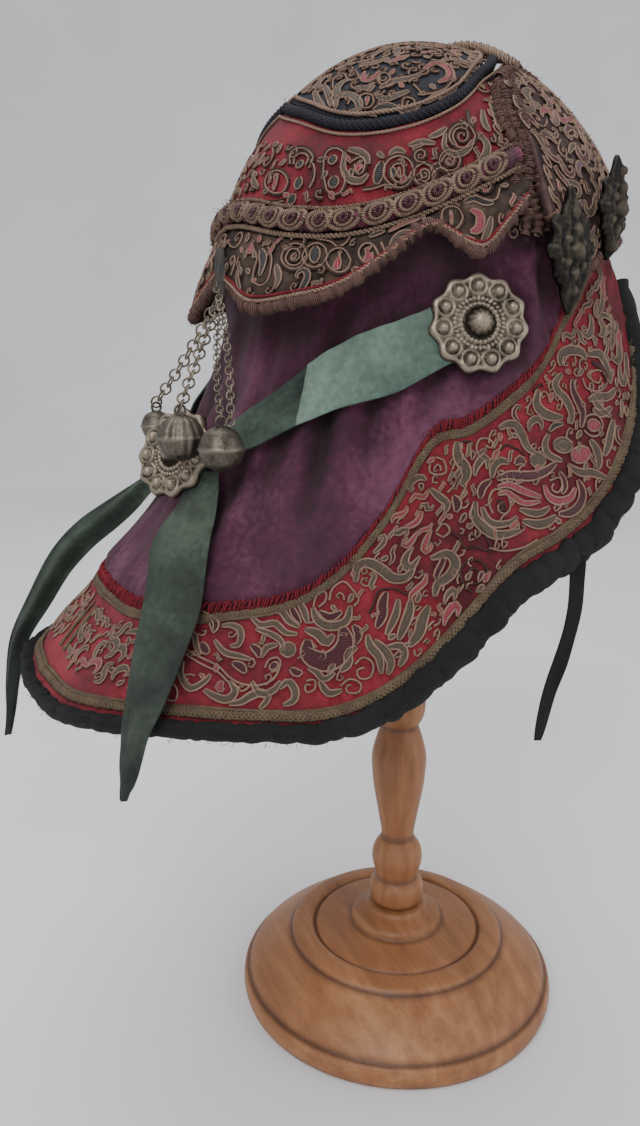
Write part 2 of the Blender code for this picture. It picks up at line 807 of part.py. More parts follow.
def add_ribbons(materials, collection):
    """Make the green ribbons round to the back disc and the two free tails below it."""
    keyed = [(index, *row) for index, row in enumerate(RIBBON)]
    rows = []
    for place in spread(0, len(RIBBON) - 1, RIBBON_STRIPS):
        share, drop, half = smooth_row(keyed, place)
        reach = half / cape_length(share)
        rows.append([cape_offset(share, drop + reach * side, RIBBON_STANDOFF) for side in (-1, 0, 1)])
    for name, sign in (("ribbon_right", 1), ("ribbon_left", -1)):
        side_rows = rows[::-1] if sign > 0 else [[mirrored(point) for point in row] for row in rows]
        material = own_material(materials, "green_ribbon", name)
        add_cloth(name, side_rows, RIBBON_CLOTH, material, collection)
    for name, table in (("ribbon_tail_right", TAIL_RIGHT), ("ribbon_tail_left", TAIL_LEFT)):
        material = own_material(materials, "green_ribbon", name)
        add_cloth(name, strip_rows(table, TAIL_STRIPS), RIBBON_CLOTH, material, collection)


def add_knot(materials, collection):
    """Make the knot of ribbon between the cape's back and the back disc."""
    size = RIBBON_KNOT_RADIUS * MM
    bpy.ops.mesh.primitive_uv_sphere_add(segments=KNOT_SEGMENTS, ring_count=KNOT_RINGS, radius=size)
    knot = bpy.context.object
    knot.name = "ribbon_knot"
    knot.data.transform(Matrix.Diagonal((1.0, 1.0, 0.5 * RIBBON_KNOT_THICKNESS / RIBBON_KNOT_RADIUS, 1.0)))
    knot.data.shade_smooth()
    outward = Vector(BACK_DISC_NORMAL).normalized()
    depth = PLATE_BACK + GAP + 0.5 * RIBBON_KNOT_THICKNESS
    frame = facing_frame(Vector(BACK_DISC_CENTRE) - outward * depth, outward, (0.0, 0.0, 1.0))
    knot.matrix_world = frame
    knot.data.materials.append(own_material(materials, "green_ribbon", "knot"))
    move_to(knot, collection)


def move_to(item, collection):
    """Keep an object in one collection only."""
    for other in list(item.users_collection):
        other.objects.unlink(item)
    collection.objects.link(item)


def add_ties(materials, collection):
    """Make the black tape ties below the front corners."""
    rows = [(*point, *TIE_EDGE, TIE_HALF_WIDTH) for point in TIE]
    strip = strip_rows(rows, TIE_STRIPS)
    for name, sign in (("tie_right", 1), ("tie_left", -1)):
        side = strip if sign > 0 else [[mirrored(point) for point in row][::-1] for row in strip]
        add_cloth(name, side, THIN_CLOTH, own_material(materials, "black_binding", name), collection)


def add_bells(materials, collection):
    """Make the tape tab, the chains' envelopes and the three round bells."""
    bpy.ops.mesh.primitive_cube_add(size=1.0)
    tab = bpy.context.object
    tab.name = "chain_tab"
    tab.data.transform(Matrix.Diagonal([size * MM for size in CHAIN_TAB_SIZE] + [1.0]))
    tab.location = [value * MM for value in CHAIN_TAB]
    tab.data.materials.append(own_material(materials, "grey_tape", "tab"))
    move_to(tab, collection)

    for name, x, y, z, radius in BELLS:
        profile = [(share * radius, height * radius) for share, height in BELL_PROFILE]
        bell = add_turned(name, profile, BELL_STEPS, own_material(materials, "aged_silver", name), collection)
        bell.location = Vector((x, y, z)) * MM

    for name, radius, *places in CHAINS:
        top, middle, foot = Vector(places[0:3]), Vector(places[3:6]), Vector(places[6:9])
        line = []
        for share in spread(0.0, 1.0, CHAIN_POINTS):
            rest = 1.0 - share
            line.append(top * rest * rest + middle * 2 * share * rest + foot * share * share)
        add_tube(name, line, radius, own_material(materials, "aged_silver", name), collection)


def main():
    """Build the whole model."""
    clear_scene()
    collection = bpy.data.collections.new(COLLECTION_NAME)
    bpy.context.scene.collection.children.link(collection)
    materials = make_materials()
    add_stand(materials, collection)
    add_crown(materials, collection)
    add_flap_and_forehead(materials, collection)
    add_cape(materials, collection)
    add_discs(materials, collection)
    add_ornaments(materials, collection)
    add_ribbons(materials, collection)
    add_knot(materials, collection)
    add_ties(materials, collection)
    add_bells(materials, collection)


main()
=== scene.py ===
"""Looks for the child's embroidered wind hat and its turned display stand.

Tables and sizes are in millimetres, as in the part's source, and MM turns them into metres.
The wearer's right lies at -X. Every pattern is worked out on the hat's own surfaces, with a fixed seed.
"""

from math import cos, pi, radians, sin

import bpy
import numpy as np
from mathutils import Matrix, Vector


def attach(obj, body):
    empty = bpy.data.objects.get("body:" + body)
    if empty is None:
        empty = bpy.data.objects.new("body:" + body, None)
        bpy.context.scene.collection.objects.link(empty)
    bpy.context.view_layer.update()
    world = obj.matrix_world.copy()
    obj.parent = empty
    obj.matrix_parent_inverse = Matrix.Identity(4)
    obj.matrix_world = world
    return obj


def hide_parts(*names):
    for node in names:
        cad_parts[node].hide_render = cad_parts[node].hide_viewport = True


MM = 0.001
BODY = "root"

# Sizes that repeat the part's source
CROWN_HALF_WIDTH = 75.0
CROWN_HALF_LENGTH = 79.0
CROWN_HEIGHT = 80.0
CROWN_BASE = 341.0
CROWN_ROUNDNESS = 1.85
RING_SLOPE = 0.158
CLOTH = 2.0
THIN_CLOTH = 1.2
PADDED_CLOTH = 3.4
LAYER_GAP = 0.8
LAYER_TOP = LAYER_GAP + THIN_CLOTH
BINDING_RADIUS = 4.2
ROLL_RADIUS = 3.0
TRIM_RADIUS = 1.6
HEAD_SEAM = 1.2
HOOD_PROUD = 0.3
HOOD_TOP = ((0.13, 0.35), (0.10, 0.45), (0.07, 0.55), (0.04, 0.6), (0.01, 0.5), (-0.01, -0.2))
GAP = 0.4
FOLD_DEPTH = 2.4
FOLD_COUNT = 11
ROLL_SETBACK = 0.058
PATCH_SETBACK = 0.028
FLAP_BULGE = 2.2
BACK_LAYER_END = 90.0
HOOD_END = 0.93
CAPE_END = 0.985
SIDES = (("right", 1), ("left", -1))
WHITE = (1.0, 1.0, 1.0)
CAPE = (
    # share  head x, y, z     neck x, y, z      hem x, y, z       border start
    (0.000,   0,  74, 329,    0,  90, 252,     0.0, 166.5, 178.5,    0.745),
    (0.120, -21,  71, 330,  -28,  88, 250,   -42.0, 160.0, 179.9,    0.745),
    (0.240, -39,  62, 331,  -52,  78, 246,   -71.8, 133.6, 181.8,    0.720),
    (0.360, -54,  50, 333,  -69,  62, 246,   -88.7, 104.4, 180.9,    0.664),
    (0.450, -62,  39, 335,  -77,  48, 248,   -98.3,  81.4, 181.3,    0.528),
    (0.530, -68,  28, 336,  -82,  34, 262,   -104.9,  61.1, 189.1,    0.396),
    (0.600, -72,  17, 338,  -84,  22, 275,   -108.8,  41.4, 203.8,    0.431),
    (0.660, -74,   8, 339,  -84,  10, 285,   -111.0,  21.0, 221.5,    0.436),
    (0.735, -75,  -5, 341,  -84,  -6, 290,   -106.9,  -1.8, 229.0,    0.367),
    (0.810, -74, -16, 343,  -82, -18, 300,   -103.8, -21.2, 237.9,    0.267),
    (0.870, -72, -26, 345,  -79, -30, 310,   -99.0, -38.5, 254.0,    0.195),
    (0.920, -69, -35, 347,  -74, -40, 322,   -90.0, -51.5, 274.0,    0.136),
    (0.960, -66, -42, 348,  -69, -48, 335,   -80.0, -55.5, 300.0,    0.079),
    (1.000, -62, -47, 349,  -63, -51, 343,   -68.0, -56.0, 325.0,    0.000),
)
PATCH_EDGE = (
    # azimuth  rise
    (0, 0.70),
    (20, 0.627),
    (42, 0.531),
    (60, 0.531),
    (75, 0.606),
    (90, 0.744),
    (120, 0.88),
    (180, 0.92),
)
ROLL_LINE = (
    # azimuth  rise
    (0, 0.287),
    (12, 0.266),
    (30, 0.202),
    (46, 0.170),
    (60, 0.191),
    (72, 0.244),
    (90, 0.351),
)
FLAP_EDGE = (
    # azimuth  level  flare
    (0, 347, 4),
    (12, 340, 7),
    (24, 333, 13),
    (36, 333, 14),
    (46, 335, 12),
    (56, 343, 9),
    (66, 351, 7),
    (77, 340, 9),
    (83, 347, 7),
    (90, 357, 5),
)
FOREHEAD_BAND = (
    # azimuth  bottom height  top rise  standoff of the lower edge
    (95, 349, 0.71, 4.8),
    (103, 331, 0.76, 4.8),
    (110, 334, 0.78, 4.8),
    (120, 343.5, 0.78, 4.0),
    (135, 346, 0.77, 2.0),
    (150, 348, 0.76, 1.2),
    (180, 350, 0.75, 1.0),
)
RIBBON = (
    # place  share  drop of the middle  half width
    (-1, 0.602, 0.186, 10.8),
    (0, 0.540, 0.185, 11.5),
    (1, 0.470, 0.190, 12.0),
    (2, 0.400, 0.200, 12.0),
    (3, 0.330, 0.222, 11.5),
    (4, 0.260, 0.260, 11.0),
    (5, 0.190, 0.318, 10.0),
    (6, 0.120, 0.375, 8.5),
    (7, 0.060, 0.405, 8.0),
)
RIBBON_STANDOFF = 1.6
KNOT_RADIUS = 7.2
KNOT_THICKNESS = 6.2
TAIL_RIGHT = (
    # place  middle x, y, z         edge dx, dy, dz    half width
    (-1, -24.5, 100.5, 262.0,    0.85, 0.45, -0.10,    8.0),
    (0, -30.2, 104.3, 253.4,    0.85, 0.45, -0.10,    9.6),
    (1, -35.5, 109.5, 245.7,    0.82, 0.56, -0.07,    11.5),
    (2, -42.1, 115.4, 236.7,    0.80, 0.60, -0.05,    12.6),
    (3, -51.9, 121.5, 221.7,    0.80, 0.60, -0.05,    12.0),
    (4, -60.2, 128.8, 206.9,    0.80, 0.60, -0.05,    10.3),
    (5, -67.5, 135.1, 194.5,    0.80, 0.60, -0.05,    8.4),
    (6, -72.6, 141.0, 183.6,    0.80, 0.60, -0.05,    6.3),
    (7, -74.5, 143.8, 172.0,    0.80, 0.60, -0.05,    3.9),
    (8, -75.0, 146.0, 162.5,    0.80, 0.60, -0.05,    1.2),
)
TAIL_LEFT = (
    # place  middle x, y, z         edge dx, dy, dz    half width
    (0, 6.0, 107.2, 259.0,    0.30, -0.45, 0.84,    5.0),
    (1, 17.0, 108.5, 256.0,    0.30, -0.45, 0.84,    5.6),
    (2, 26.5, 114.0, 248.5,    0.40, -0.20, 0.88,    6.2),
    (3, 34.5, 124.1, 238.5,    0.45, 0.20, 0.86,    6.4),
    (4, 39.3, 134.6, 229.5,    0.45, 0.40, 0.79,    6.4),
    (5, 42.3, 144.8, 218.0,    0.50, 0.55, 0.66,    6.2),
    (6, 44.9, 154.2, 201.7,    0.55, 0.72, 0.42,    5.5),
    (7, 46.4, 163.4, 185.2,    0.55, 0.80, 0.20,    4.2),
    (8, 44.6, 167.5, 168.2,    0.50, 0.86, 0.00,    2.9),
    (9, 42.0, 169.5, 154.0,    0.50, 0.86, 0.00,    1.8),
    (10, 40.0, 171.0, 144.8,    0.50, 0.86, 0.00,    1.0),
)
TIE = (
    # place  middle x, y, z
    (-0.4, -104.9, -9.4, 236.5),
    (0, -105.6, -9, 230.0),
    (1, -106.3, -8, 216),
    (2, -106, -4, 200),
    (3, -105, 0, 186),
    (4, -104, 3, 169),
)
TIE_HALF_WIDTH = 2.6
BINDING_WIDTH = ((0.0, 0.40, 0.62, 0.90, 1.0), (3.0, 3.2, 5.2, 5.4, 4.4))
DISC_RADIUS = 17.0
DISC_BOSSES = 11
SIDE_DISC_PLACE = (0.610, 0.200)
SIDE_DISC_STANDOFF = 2.2
BACK_DISC_CENTRE = (-15.2, 107.9, 268.0)
BACK_DISC_NORMAL = (-0.46, 0.80, 0.38)
ORNAMENTS = (
    # name, azimuth, centre height, half height, width share, lean out in degrees, standoff
    ("ornament_temple", 100, 338, 23.0, 0.85, 2, 10.4),
    ("ornament_brow", 114, 354, 19.0, 0.95, -3, 12.6),
)
BELLS = (
    # name, x, y, z, radius
    ("bell_right", -49.5, 101.0, 272.2, 7.9),
    ("bell_middle", -34.6, 110.9, 275.3, 8.2),
    ("bell_left", 24.3, 104.2, 275.5, 6.4),
)
CHAINS = (
    # name, wire radius, link pitch, link half length, link half width, top, middle and foot x, y, z
    ("chain_1", 0.42, 3.7, 2.5, 2.1, -1.8, 86.1, 323.6, 9, 93, 305, 24.0, 104.2, 285.2),
    ("chain_2", 0.42, 3.7, 2.5, 2.1, -5.6, 86.1, 323.8, -17, 97, 307, -34.6, 110.7, 286.4),
    ("chain_3", 0.30, 2.6, 1.8, 1.3, -8.8, 86.1, 323.8, -24, 95, 306, -49.2, 101, 283.0),
    ("chain_4", 0.30, 2.6, 1.8, 1.3, -8.8, 88.3, 330.0, -36, 92, 309, -52.4, 98.6, 280.5),
)
BASE_PROFILE = (
    # radius  height
    (0.0, 43.4),
    (13.4, 43.4),
    (14.6, 41.0),
    (21.5, 38.0),
    (22.0, 34.0),
    (38.6, 32.2),
    (40.0, 29.8),
    (41.6, 32.6),
    (50.0, 31.0),
    (51.5, 28.6),
    (60.0, 23.4),
    (70.5, 15.2),
    (72.6, 11.4),
    (74.6, 10.4),
    (75.4, 5.0),
    (73.8, 0.0),
    (0.0, 0.0),
)
POST_PROFILE = (
    # radius  height
    (0.0, 381.6),
    (9.0, 381.6),
    (9.0, 166.0),
    (8.2, 156.0),
    (11.0, 152.0),
    (12.2, 145.5),
    (11.0, 139.0),
    (8.6, 135.5),
    (10.6, 130.0),
    (13.2, 120.0),
    (12.2, 106.0),
    (8.8, 87.0),
    (7.4, 78.5),
    (11.4, 73.0),
    (12.4, 66.5),
    (9.6, 57.6),
    (12.9, 54.0),
    (13.0, 48.0),
    (11.6, 43.8),
    (0.0, 43.8),
)
# How far from each groove below shade is painted into the wood's colour
GROOVE_REACH = 2.2
BASE_GROOVES = (
    # radius  height
    (22.0, 34.0),
    (40.0, 29.8),
    (51.5, 28.6),
    (72.6, 11.4),
)
POST_GROOVES = (
    # radius  height
    (8.6, 135.5),
    (7.4, 78.5),
    (9.6, 57.6),
    (11.6, 43.8),
)
SIDE_TRIMS = (
    # azimuth  height over the crown  top rise  radius
    (89.2, 3.4, 0.66, 1.5),
    (93.6, 2.2, 0.70, 1.9),
    (96.6, 3.6, 0.72, 1.7),
)
LEAF_OUTLINE = (
    # turn from the tip  reach
    (0, 1.00),
    (22, 0.66),
    (45, 0.70),
    (65, 0.56),
    (90, 0.62),
    (118, 0.50),
    (140, 0.58),
    (160, 0.62),
    (180, 0.96),
)
LEAF_PROFILE = (
    # reach from the centre to the rim  height
    (0.0, 3.0),
    (0.2, 2.9),
    (0.34, 2.5),
    (0.45, 2.1),
    (0.6, 1.9),
    (0.78, 2.0),
    (0.92, 1.2),
    (1.0, 0.1),
)
DISC_PROFILE = (
    # reach from the centre to the rim  height
    (0.0, 6.3),
    (0.06, 6.2),
    (0.14, 5.6),
    (0.22, 4.2),
    (0.28, 2.5),
    (0.31, 1.7),
    (0.36, 1.5),
    (0.5, 1.3),
    (0.88, 1.2),
    (0.94, 1.7),
    (0.98, 1.6),
    (1.0, 0.2),
)
DISC_SHADES = (
    # reach from the centre to the rim  shade
    (0.0, 1.0),
    (0.1, 0.75),
    (0.24, 0.4),
    (0.3, 0.0),
    (0.34, 0.2),
    (0.45, 0.35),
    (0.88, 0.2),
    (0.95, 0.75),
    (1.0, 0.5),
)
DISC_GRANULES = (
    # ring's share of the disc's radius  granules  radius of one
    (0.385, 26, 0.85),
    (0.5, 36, 0.6),
)
BOSS_RING = 0.755
BOSS_RADIUS = 2.0
LEAF_BOSSES = (
    # x, y, radius
    (0.0, 13.0, 1.7),
    (0.4, 7.5, 2.4),
    (-3.6, 4.0, 1.6),
    (3.9, 3.2, 1.5),
    (0.0, 0.5, 3.1),
    (-3.9, -3.4, 1.6),
    (3.7, -4.2, 1.6),
    (0.2, -7.2, 2.3),
    (-0.4, -12.6, 1.9),
)
PLATE_BACK = 1.2
WELD_REACH = 0.02
HOOD_ROWS_UNDER_TOP = 4
FOCAL_PIXELS = 900.0
PHOTO_PIXELS = 1126.0
SENSOR_HEIGHT = 36.0
CHAIN_TAB = (-6.0, 85.7, 334.0)
CHAIN_TAB_SIZE = (9.0, 1.6, 17.0)

# The near side's embroidery on the border, charted; half 0 is a bare cord
BORDER_CHART = (
    # fill  cord  half width  share, drop along the stroke
    ("tan", "light", 1.7, (.787, .428), (.787, .397), (.812, .406), (.835, .441), (.845, .478)),
    ("tan", "light", 1.7, (.850, .469), (.873, .513), (.882, .572), (.885, .628), (.880, .641)),
    ("wine", "dark", 0.9, (.858, .513), (.870, .556), (.877, .606), (.877, .634)),
    ("", "light", 0, (.833, .528), (.835, .566), (.855, .613), (.873, .634), (.877, .606), (.863, .553),
     (.848, .537), (.848, .562), (.860, .594), (.865, .584)),
    ("tan", "light", 1.6, (.787, .456), (.767, .466), (.770, .497), (.785, .537), (.795, .588), (.790, .616)),
    ("wine", "light", 1.4, (.810, .500), (.807, .531), (.812, .572), (.818, .619), (.810, .653)),
    ("tan", "light", 1.7, (.725, .456), (.718, .494), (.728, .525), (.748, .553), (.772, .578)),
    ("", "dark", 0, (.715, .453), (.733, .441), (.738, .456)),
    ("tan", "light", 1.5, (.833, .603), (.850, .622), (.873, .672), (.887, .684)),
    ("tan", "light", 1.3, (.838, .641), (.855, .691), (.870, .706)),
    ("rose", "light", 2.2, (.823, .666), (.833, .684), (.845, .706)),
    ("", "light", 0, (.815, .659), (.825, .641), (.843, .669), (.850, .713), (.840, .728), (.825, .703),
     (.815, .669)),
    ("tan", "light", 2.8, (.745, .638), (.765, .656), (.785, .675)),
    ("", "light", 0, (.752, .644), (.767, .644), (.777, .669), (.762, .669), (.755, .650)),
    ("tan", "light", 1.3, (.738, .597), (.728, .622), (.733, .656), (.757, .694)),
    ("black", "light", 0.9, (.740, .591), (.752, .584), (.772, .597)),
    ("rose", "light", 3.0, (.780, .706), (.802, .725), (.818, .738)),
    ("tan", "light", 1.4, (.770, .719), (.792, .766), (.812, .794), (.825, .825), (.835, .853)),
    ("tan", "light", 1.5, (.823, .713), (.830, .753), (.830, .791), (.825, .806)),
    ("tan", "light", 1.6, (.868, .744), (.858, .766), (.850, .784), (.840, .794)),
    ("tan", "light", 1.3, (.840, .597), (.848, .647), (.865, .725)),
    ("tan", "light", 1.6, (.650, .519), (.665, .522), (.680, .537), (.688, .572), (.693, .606), (.708, .634)),
    ("tan", "light", 2.8, (.698, .647), (.710, .653), (.725, .663)),
    ("wine", "light", 1.6, (.645, .647), (.660, .659), (.682, .681), (.705, .694), (.728, .694),
     (.743, .688)),
    ("tan", "light", 1.2, (.637, .631), (.640, .606), (.650, .606), (.662, .628)),
    ("wine", "light", 1.4, (.672, .641), (.680, .634), (.688, .650)),
    ("", "light", 0, (.652, .566), (.640, .584), (.623, .562), (.613, .522), (.618, .503), (.632, .522),
     (.640, .550), (.635, .553), (.627, .531)),
    ("", "dark", 0, (.650, .578), (.660, .575), (.675, .600), (.690, .628)),
    ("wine", "light", 1.3, (.620, .653), (.623, .631), (.635, .634)),
    ("rose", "light", 1.1, (.645, .669), (.660, .684), (.677, .713), (.693, .738), (.710, .759)),
    ("rose", "light", 0.9, (.645, .688), (.657, .700), (.667, .725), (.685, .759), (.708, .769)),
    ("", "light", 0, (.637, .722), (.632, .681), (.640, .666), (.657, .706), (.662, .744), (.655, .753),
     (.645, .731), (.645, .713), (.652, .719)),
    ("tan", "light", 1.6, (.613, .650), (.613, .684), (.625, .734), (.640, .781), (.657, .809), (.672, .819)),
    ("tan", "light", 1.1, (.623, .681), (.630, .725), (.642, .759), (.660, .784), (.670, .781)),
    ("tan", "light", 1.2, (.675, .766), (.690, .788), (.708, .800), (.725, .797)),
    ("tan", "light", 1.5, (.677, .800), (.698, .825), (.718, .834), (.735, .831)),
    ("rose", "light", 1.3, (.718, .731), (.723, .763), (.743, .797), (.765, .809), (.777, .794)),
    ("", "light", 0, (.728, .725), (.748, .734), (.752, .763), (.743, .772), (.730, .750), (.735, .741)),
    ("wine", "light", 1.0, (.748, .719), (.757, .747), (.757, .775), (.750, .781)),
    ("wine", "light", 1.6, (.785, .781), (.790, .825), (.780, .847), (.760, .847), (.740, .831)),
    ("tan", "light", 1.8, (.578, .463), (.580, .500), (.593, .537), (.598, .566), (.590, .578)),
    ("", "dark", 0, (.580, .466), (.600, .484), (.608, .500)),
    ("", "light", 0, (.540, .459), (.555, .481), (.560, .513), (.545, .503), (.530, .481), (.530, .466)),
    ("wine", "light", 1.4, (.578, .588), (.585, .616), (.583, .631)),
    ("tan", "light", 1.2, (.535, .525), (.550, .556), (.568, .594), (.565, .609)),
    ("", "light", 0, (.552, .638), (.562, .631), (.575, .663), (.565, .666), (.552, .641)),
    ("", "dark", 0, (.578, .672), (.590, .700), (.600, .738), (.610, .756), (.608, .741)),
    ("tan", "light", 1.6, (.547, .691), (.573, .713), (.588, .756), (.580, .772), (.562, .766), (.560, .788)),
    ("", "dark", 0, (.613, .863), (.595, .794), (.603, .775), (.620, .803), (.630, .847), (.625, .859),
     (.615, .847), (.605, .816), (.608, .800), (.618, .819), (.618, .831)),
    ("", "dark", 0, (.620, .719), (.635, .809), (.613, .756)),
    ("", "light", 0, (.632, .797), (.652, .844), (.675, .866), (.698, .866)),
    ("wine", "dark", 0.9, (.645, .703), (.652, .734), (.647, .731)),
    ("wine", "light", 3.2, (.378, .778), (.385, .809), (.410, .825), (.427, .812), (.432, .784),
     (.422, .750)),
    ("tan", "light", 1.6, (.370, .756), (.388, .763), (.405, .781), (.412, .766)),
    ("wine", "light", 1.4, (.438, .750), (.448, .769), (.448, .791)),
    ("tan", "light", 1.4, (.372, .709), (.383, .734), (.403, .747), (.425, .738), (.427, .706)),
    ("wine", "light", 1.3, (.383, .716), (.400, .728), (.415, .716)),
    ("", "light", 0, (.372, .706), (.372, .681), (.383, .672), (.388, .691), (.380, .706)),
    ("", "light", 0, (.393, .691), (.393, .666), (.407, .650), (.422, .666), (.438, .694), (.432, .706)),
    ("wine", "light", 1.7, (.480, .700), (.477, .722), (.480, .750), (.475, .772)),
    ("tan", "light", 1.2, (.502, .734), (.502, .763), (.497, .784), (.492, .800)),
    ("tan", "light", 1.5, (.522, .753), (.522, .781), (.517, .806), (.512, .828)),
    ("tan", "light", 1.8, (.552, .800), (.545, .819), (.542, .847), (.530, .859)),
    ("tan", "light", 1.7, (.427, .653), (.425, .619), (.443, .616), (.468, .644), (.487, .675), (.512, .694),
     (.520, .675)),
    ("tan", "light", 1.3, (.463, .781), (.470, .809), (.487, .844), (.495, .884)),
    ("tan", "light", 1.4, (.475, .800), (.495, .838), (.507, .875), (.505, .894)),
    ("tan", "light", 1.3, (.497, .831), (.517, .847), (.525, .875), (.520, .891)),
    ("", "light", 0, (.453, .838), (.463, .828), (.480, .853), (.480, .881), (.465, .875), (.458, .853),
     (.468, .853)),
    ("", "light", 0, (.393, .866), (.403, .863), (.407, .884), (.398, .891), (.393, .875), (.400, .875)),
    ("tan", "light", 1.1, (.410, .866), (.427, .894), (.443, .891)),
    ("", "light", 0, (.440, .881), (.450, .869), (.468, .888), (.468, .906), (.453, .900), (.448, .884),
     (.455, .884)),
    ("tan", "light", 1.0, (.287, .734), (.305, .750), (.323, .744), (.343, .763), (.360, .766)),
    ("tan", "light", 1.1, (.310, .722), (.325, .716), (.343, .738), (.360, .750)),
    ("tan", "light", 0.9, (.300, .759), (.320, .766), (.340, .781), (.350, .803)),
    ("wine", "light", 1.1, (.338, .706), (.347, .722), (.360, .741)),
    ("tan", "light", 1.1, (.347, .694), (.360, .716), (.370, .741)),
    ("tan", "light", 2.6, (.345, .803), (.355, .800), (.365, .806)),
    ("", "light", 0, (.200, .738), (.212, .734), (.228, .741), (.245, .756), (.242, .775), (.230, .756)),
    ("wine", "light", 1.1, (.230, .741), (.242, .759), (.242, .775)),
    ("tan", "light", 1.0, (.250, .759), (.265, .756), (.280, .766), (.285, .794), (.275, .800)),
    ("wine", "light", 1.5, (.233, .800), (.242, .812), (.250, .819)),
    ("wine", "light", 1.4, (.287, .834), (.300, .841), (.310, .853)),
    ("wine", "light", 1.3, (.302, .794), (.315, .806), (.320, .819)),
    ("tan", "light", 0.9, (.205, .781), (.217, .784), (.228, .806), (.240, .825)),
    ("tan", "light", 0.9, (.250, .791), (.265, .809), (.275, .816), (.292, .819), (.310, .825)),
    ("", "light", 0, (.215, .816), (.237, .828), (.270, .844), (.292, .866), (.312, .878), (.335, .878),
     (.350, .863), (.352, .831)),
    ("", "light", 0, (.217, .825), (.242, .841), (.273, .856), (.292, .875), (.312, .888)),
    ("tan", "light", 1.0, (.223, .844), (.230, .872), (.250, .897), (.263, .878), (.265, .863)),
    ("", "light", 0, (.223, .888), (.235, .903), (.240, .925), (.230, .925)),
    ("tan", "light", 1.2, (.268, .897), (.285, .909), (.302, .913), (.307, .894), (.295, .875)),
    ("rose", "light", 1.2, (.285, .875), (.285, .891), (.292, .894)),
    ("tan", "light", 1.2, (.307, .922), (.320, .916), (.328, .903), (.340, .894), (.352, .906), (.347, .928)),
    ("tan", "light", 1.2, (.362, .884), (.370, .869), (.383, .888), (.385, .909), (.375, .919)),
    ("wine", "light", 1.6, (.340, .831), (.345, .838), (.347, .841)),
    ("", "light", 0, (.333, .841), (.335, .822), (.347, .819), (.352, .841), (.343, .850)),
    ("tan", "light", 1.0, (.323, .819), (.325, .797), (.338, .791)),
    ("wine", "light", 1.2, (.367, .841), (.378, .850), (.383, .847)),
    ("tan", "light", 1.0, (.323, .872), (.340, .897), (.355, .888), (.360, .869)),
    ("", "dark", 0, (.458, .731), (.463, .713), (.468, .688), (.490, .700), (.517, .738)),
    ("tan", "light", 1.4, (.450, .800), (.440, .809), (.443, .834), (.435, .847)),
    ("tan", "light", 1.0, (.390, .838), (.403, .847), (.415, .863), (.427, .850)),
)
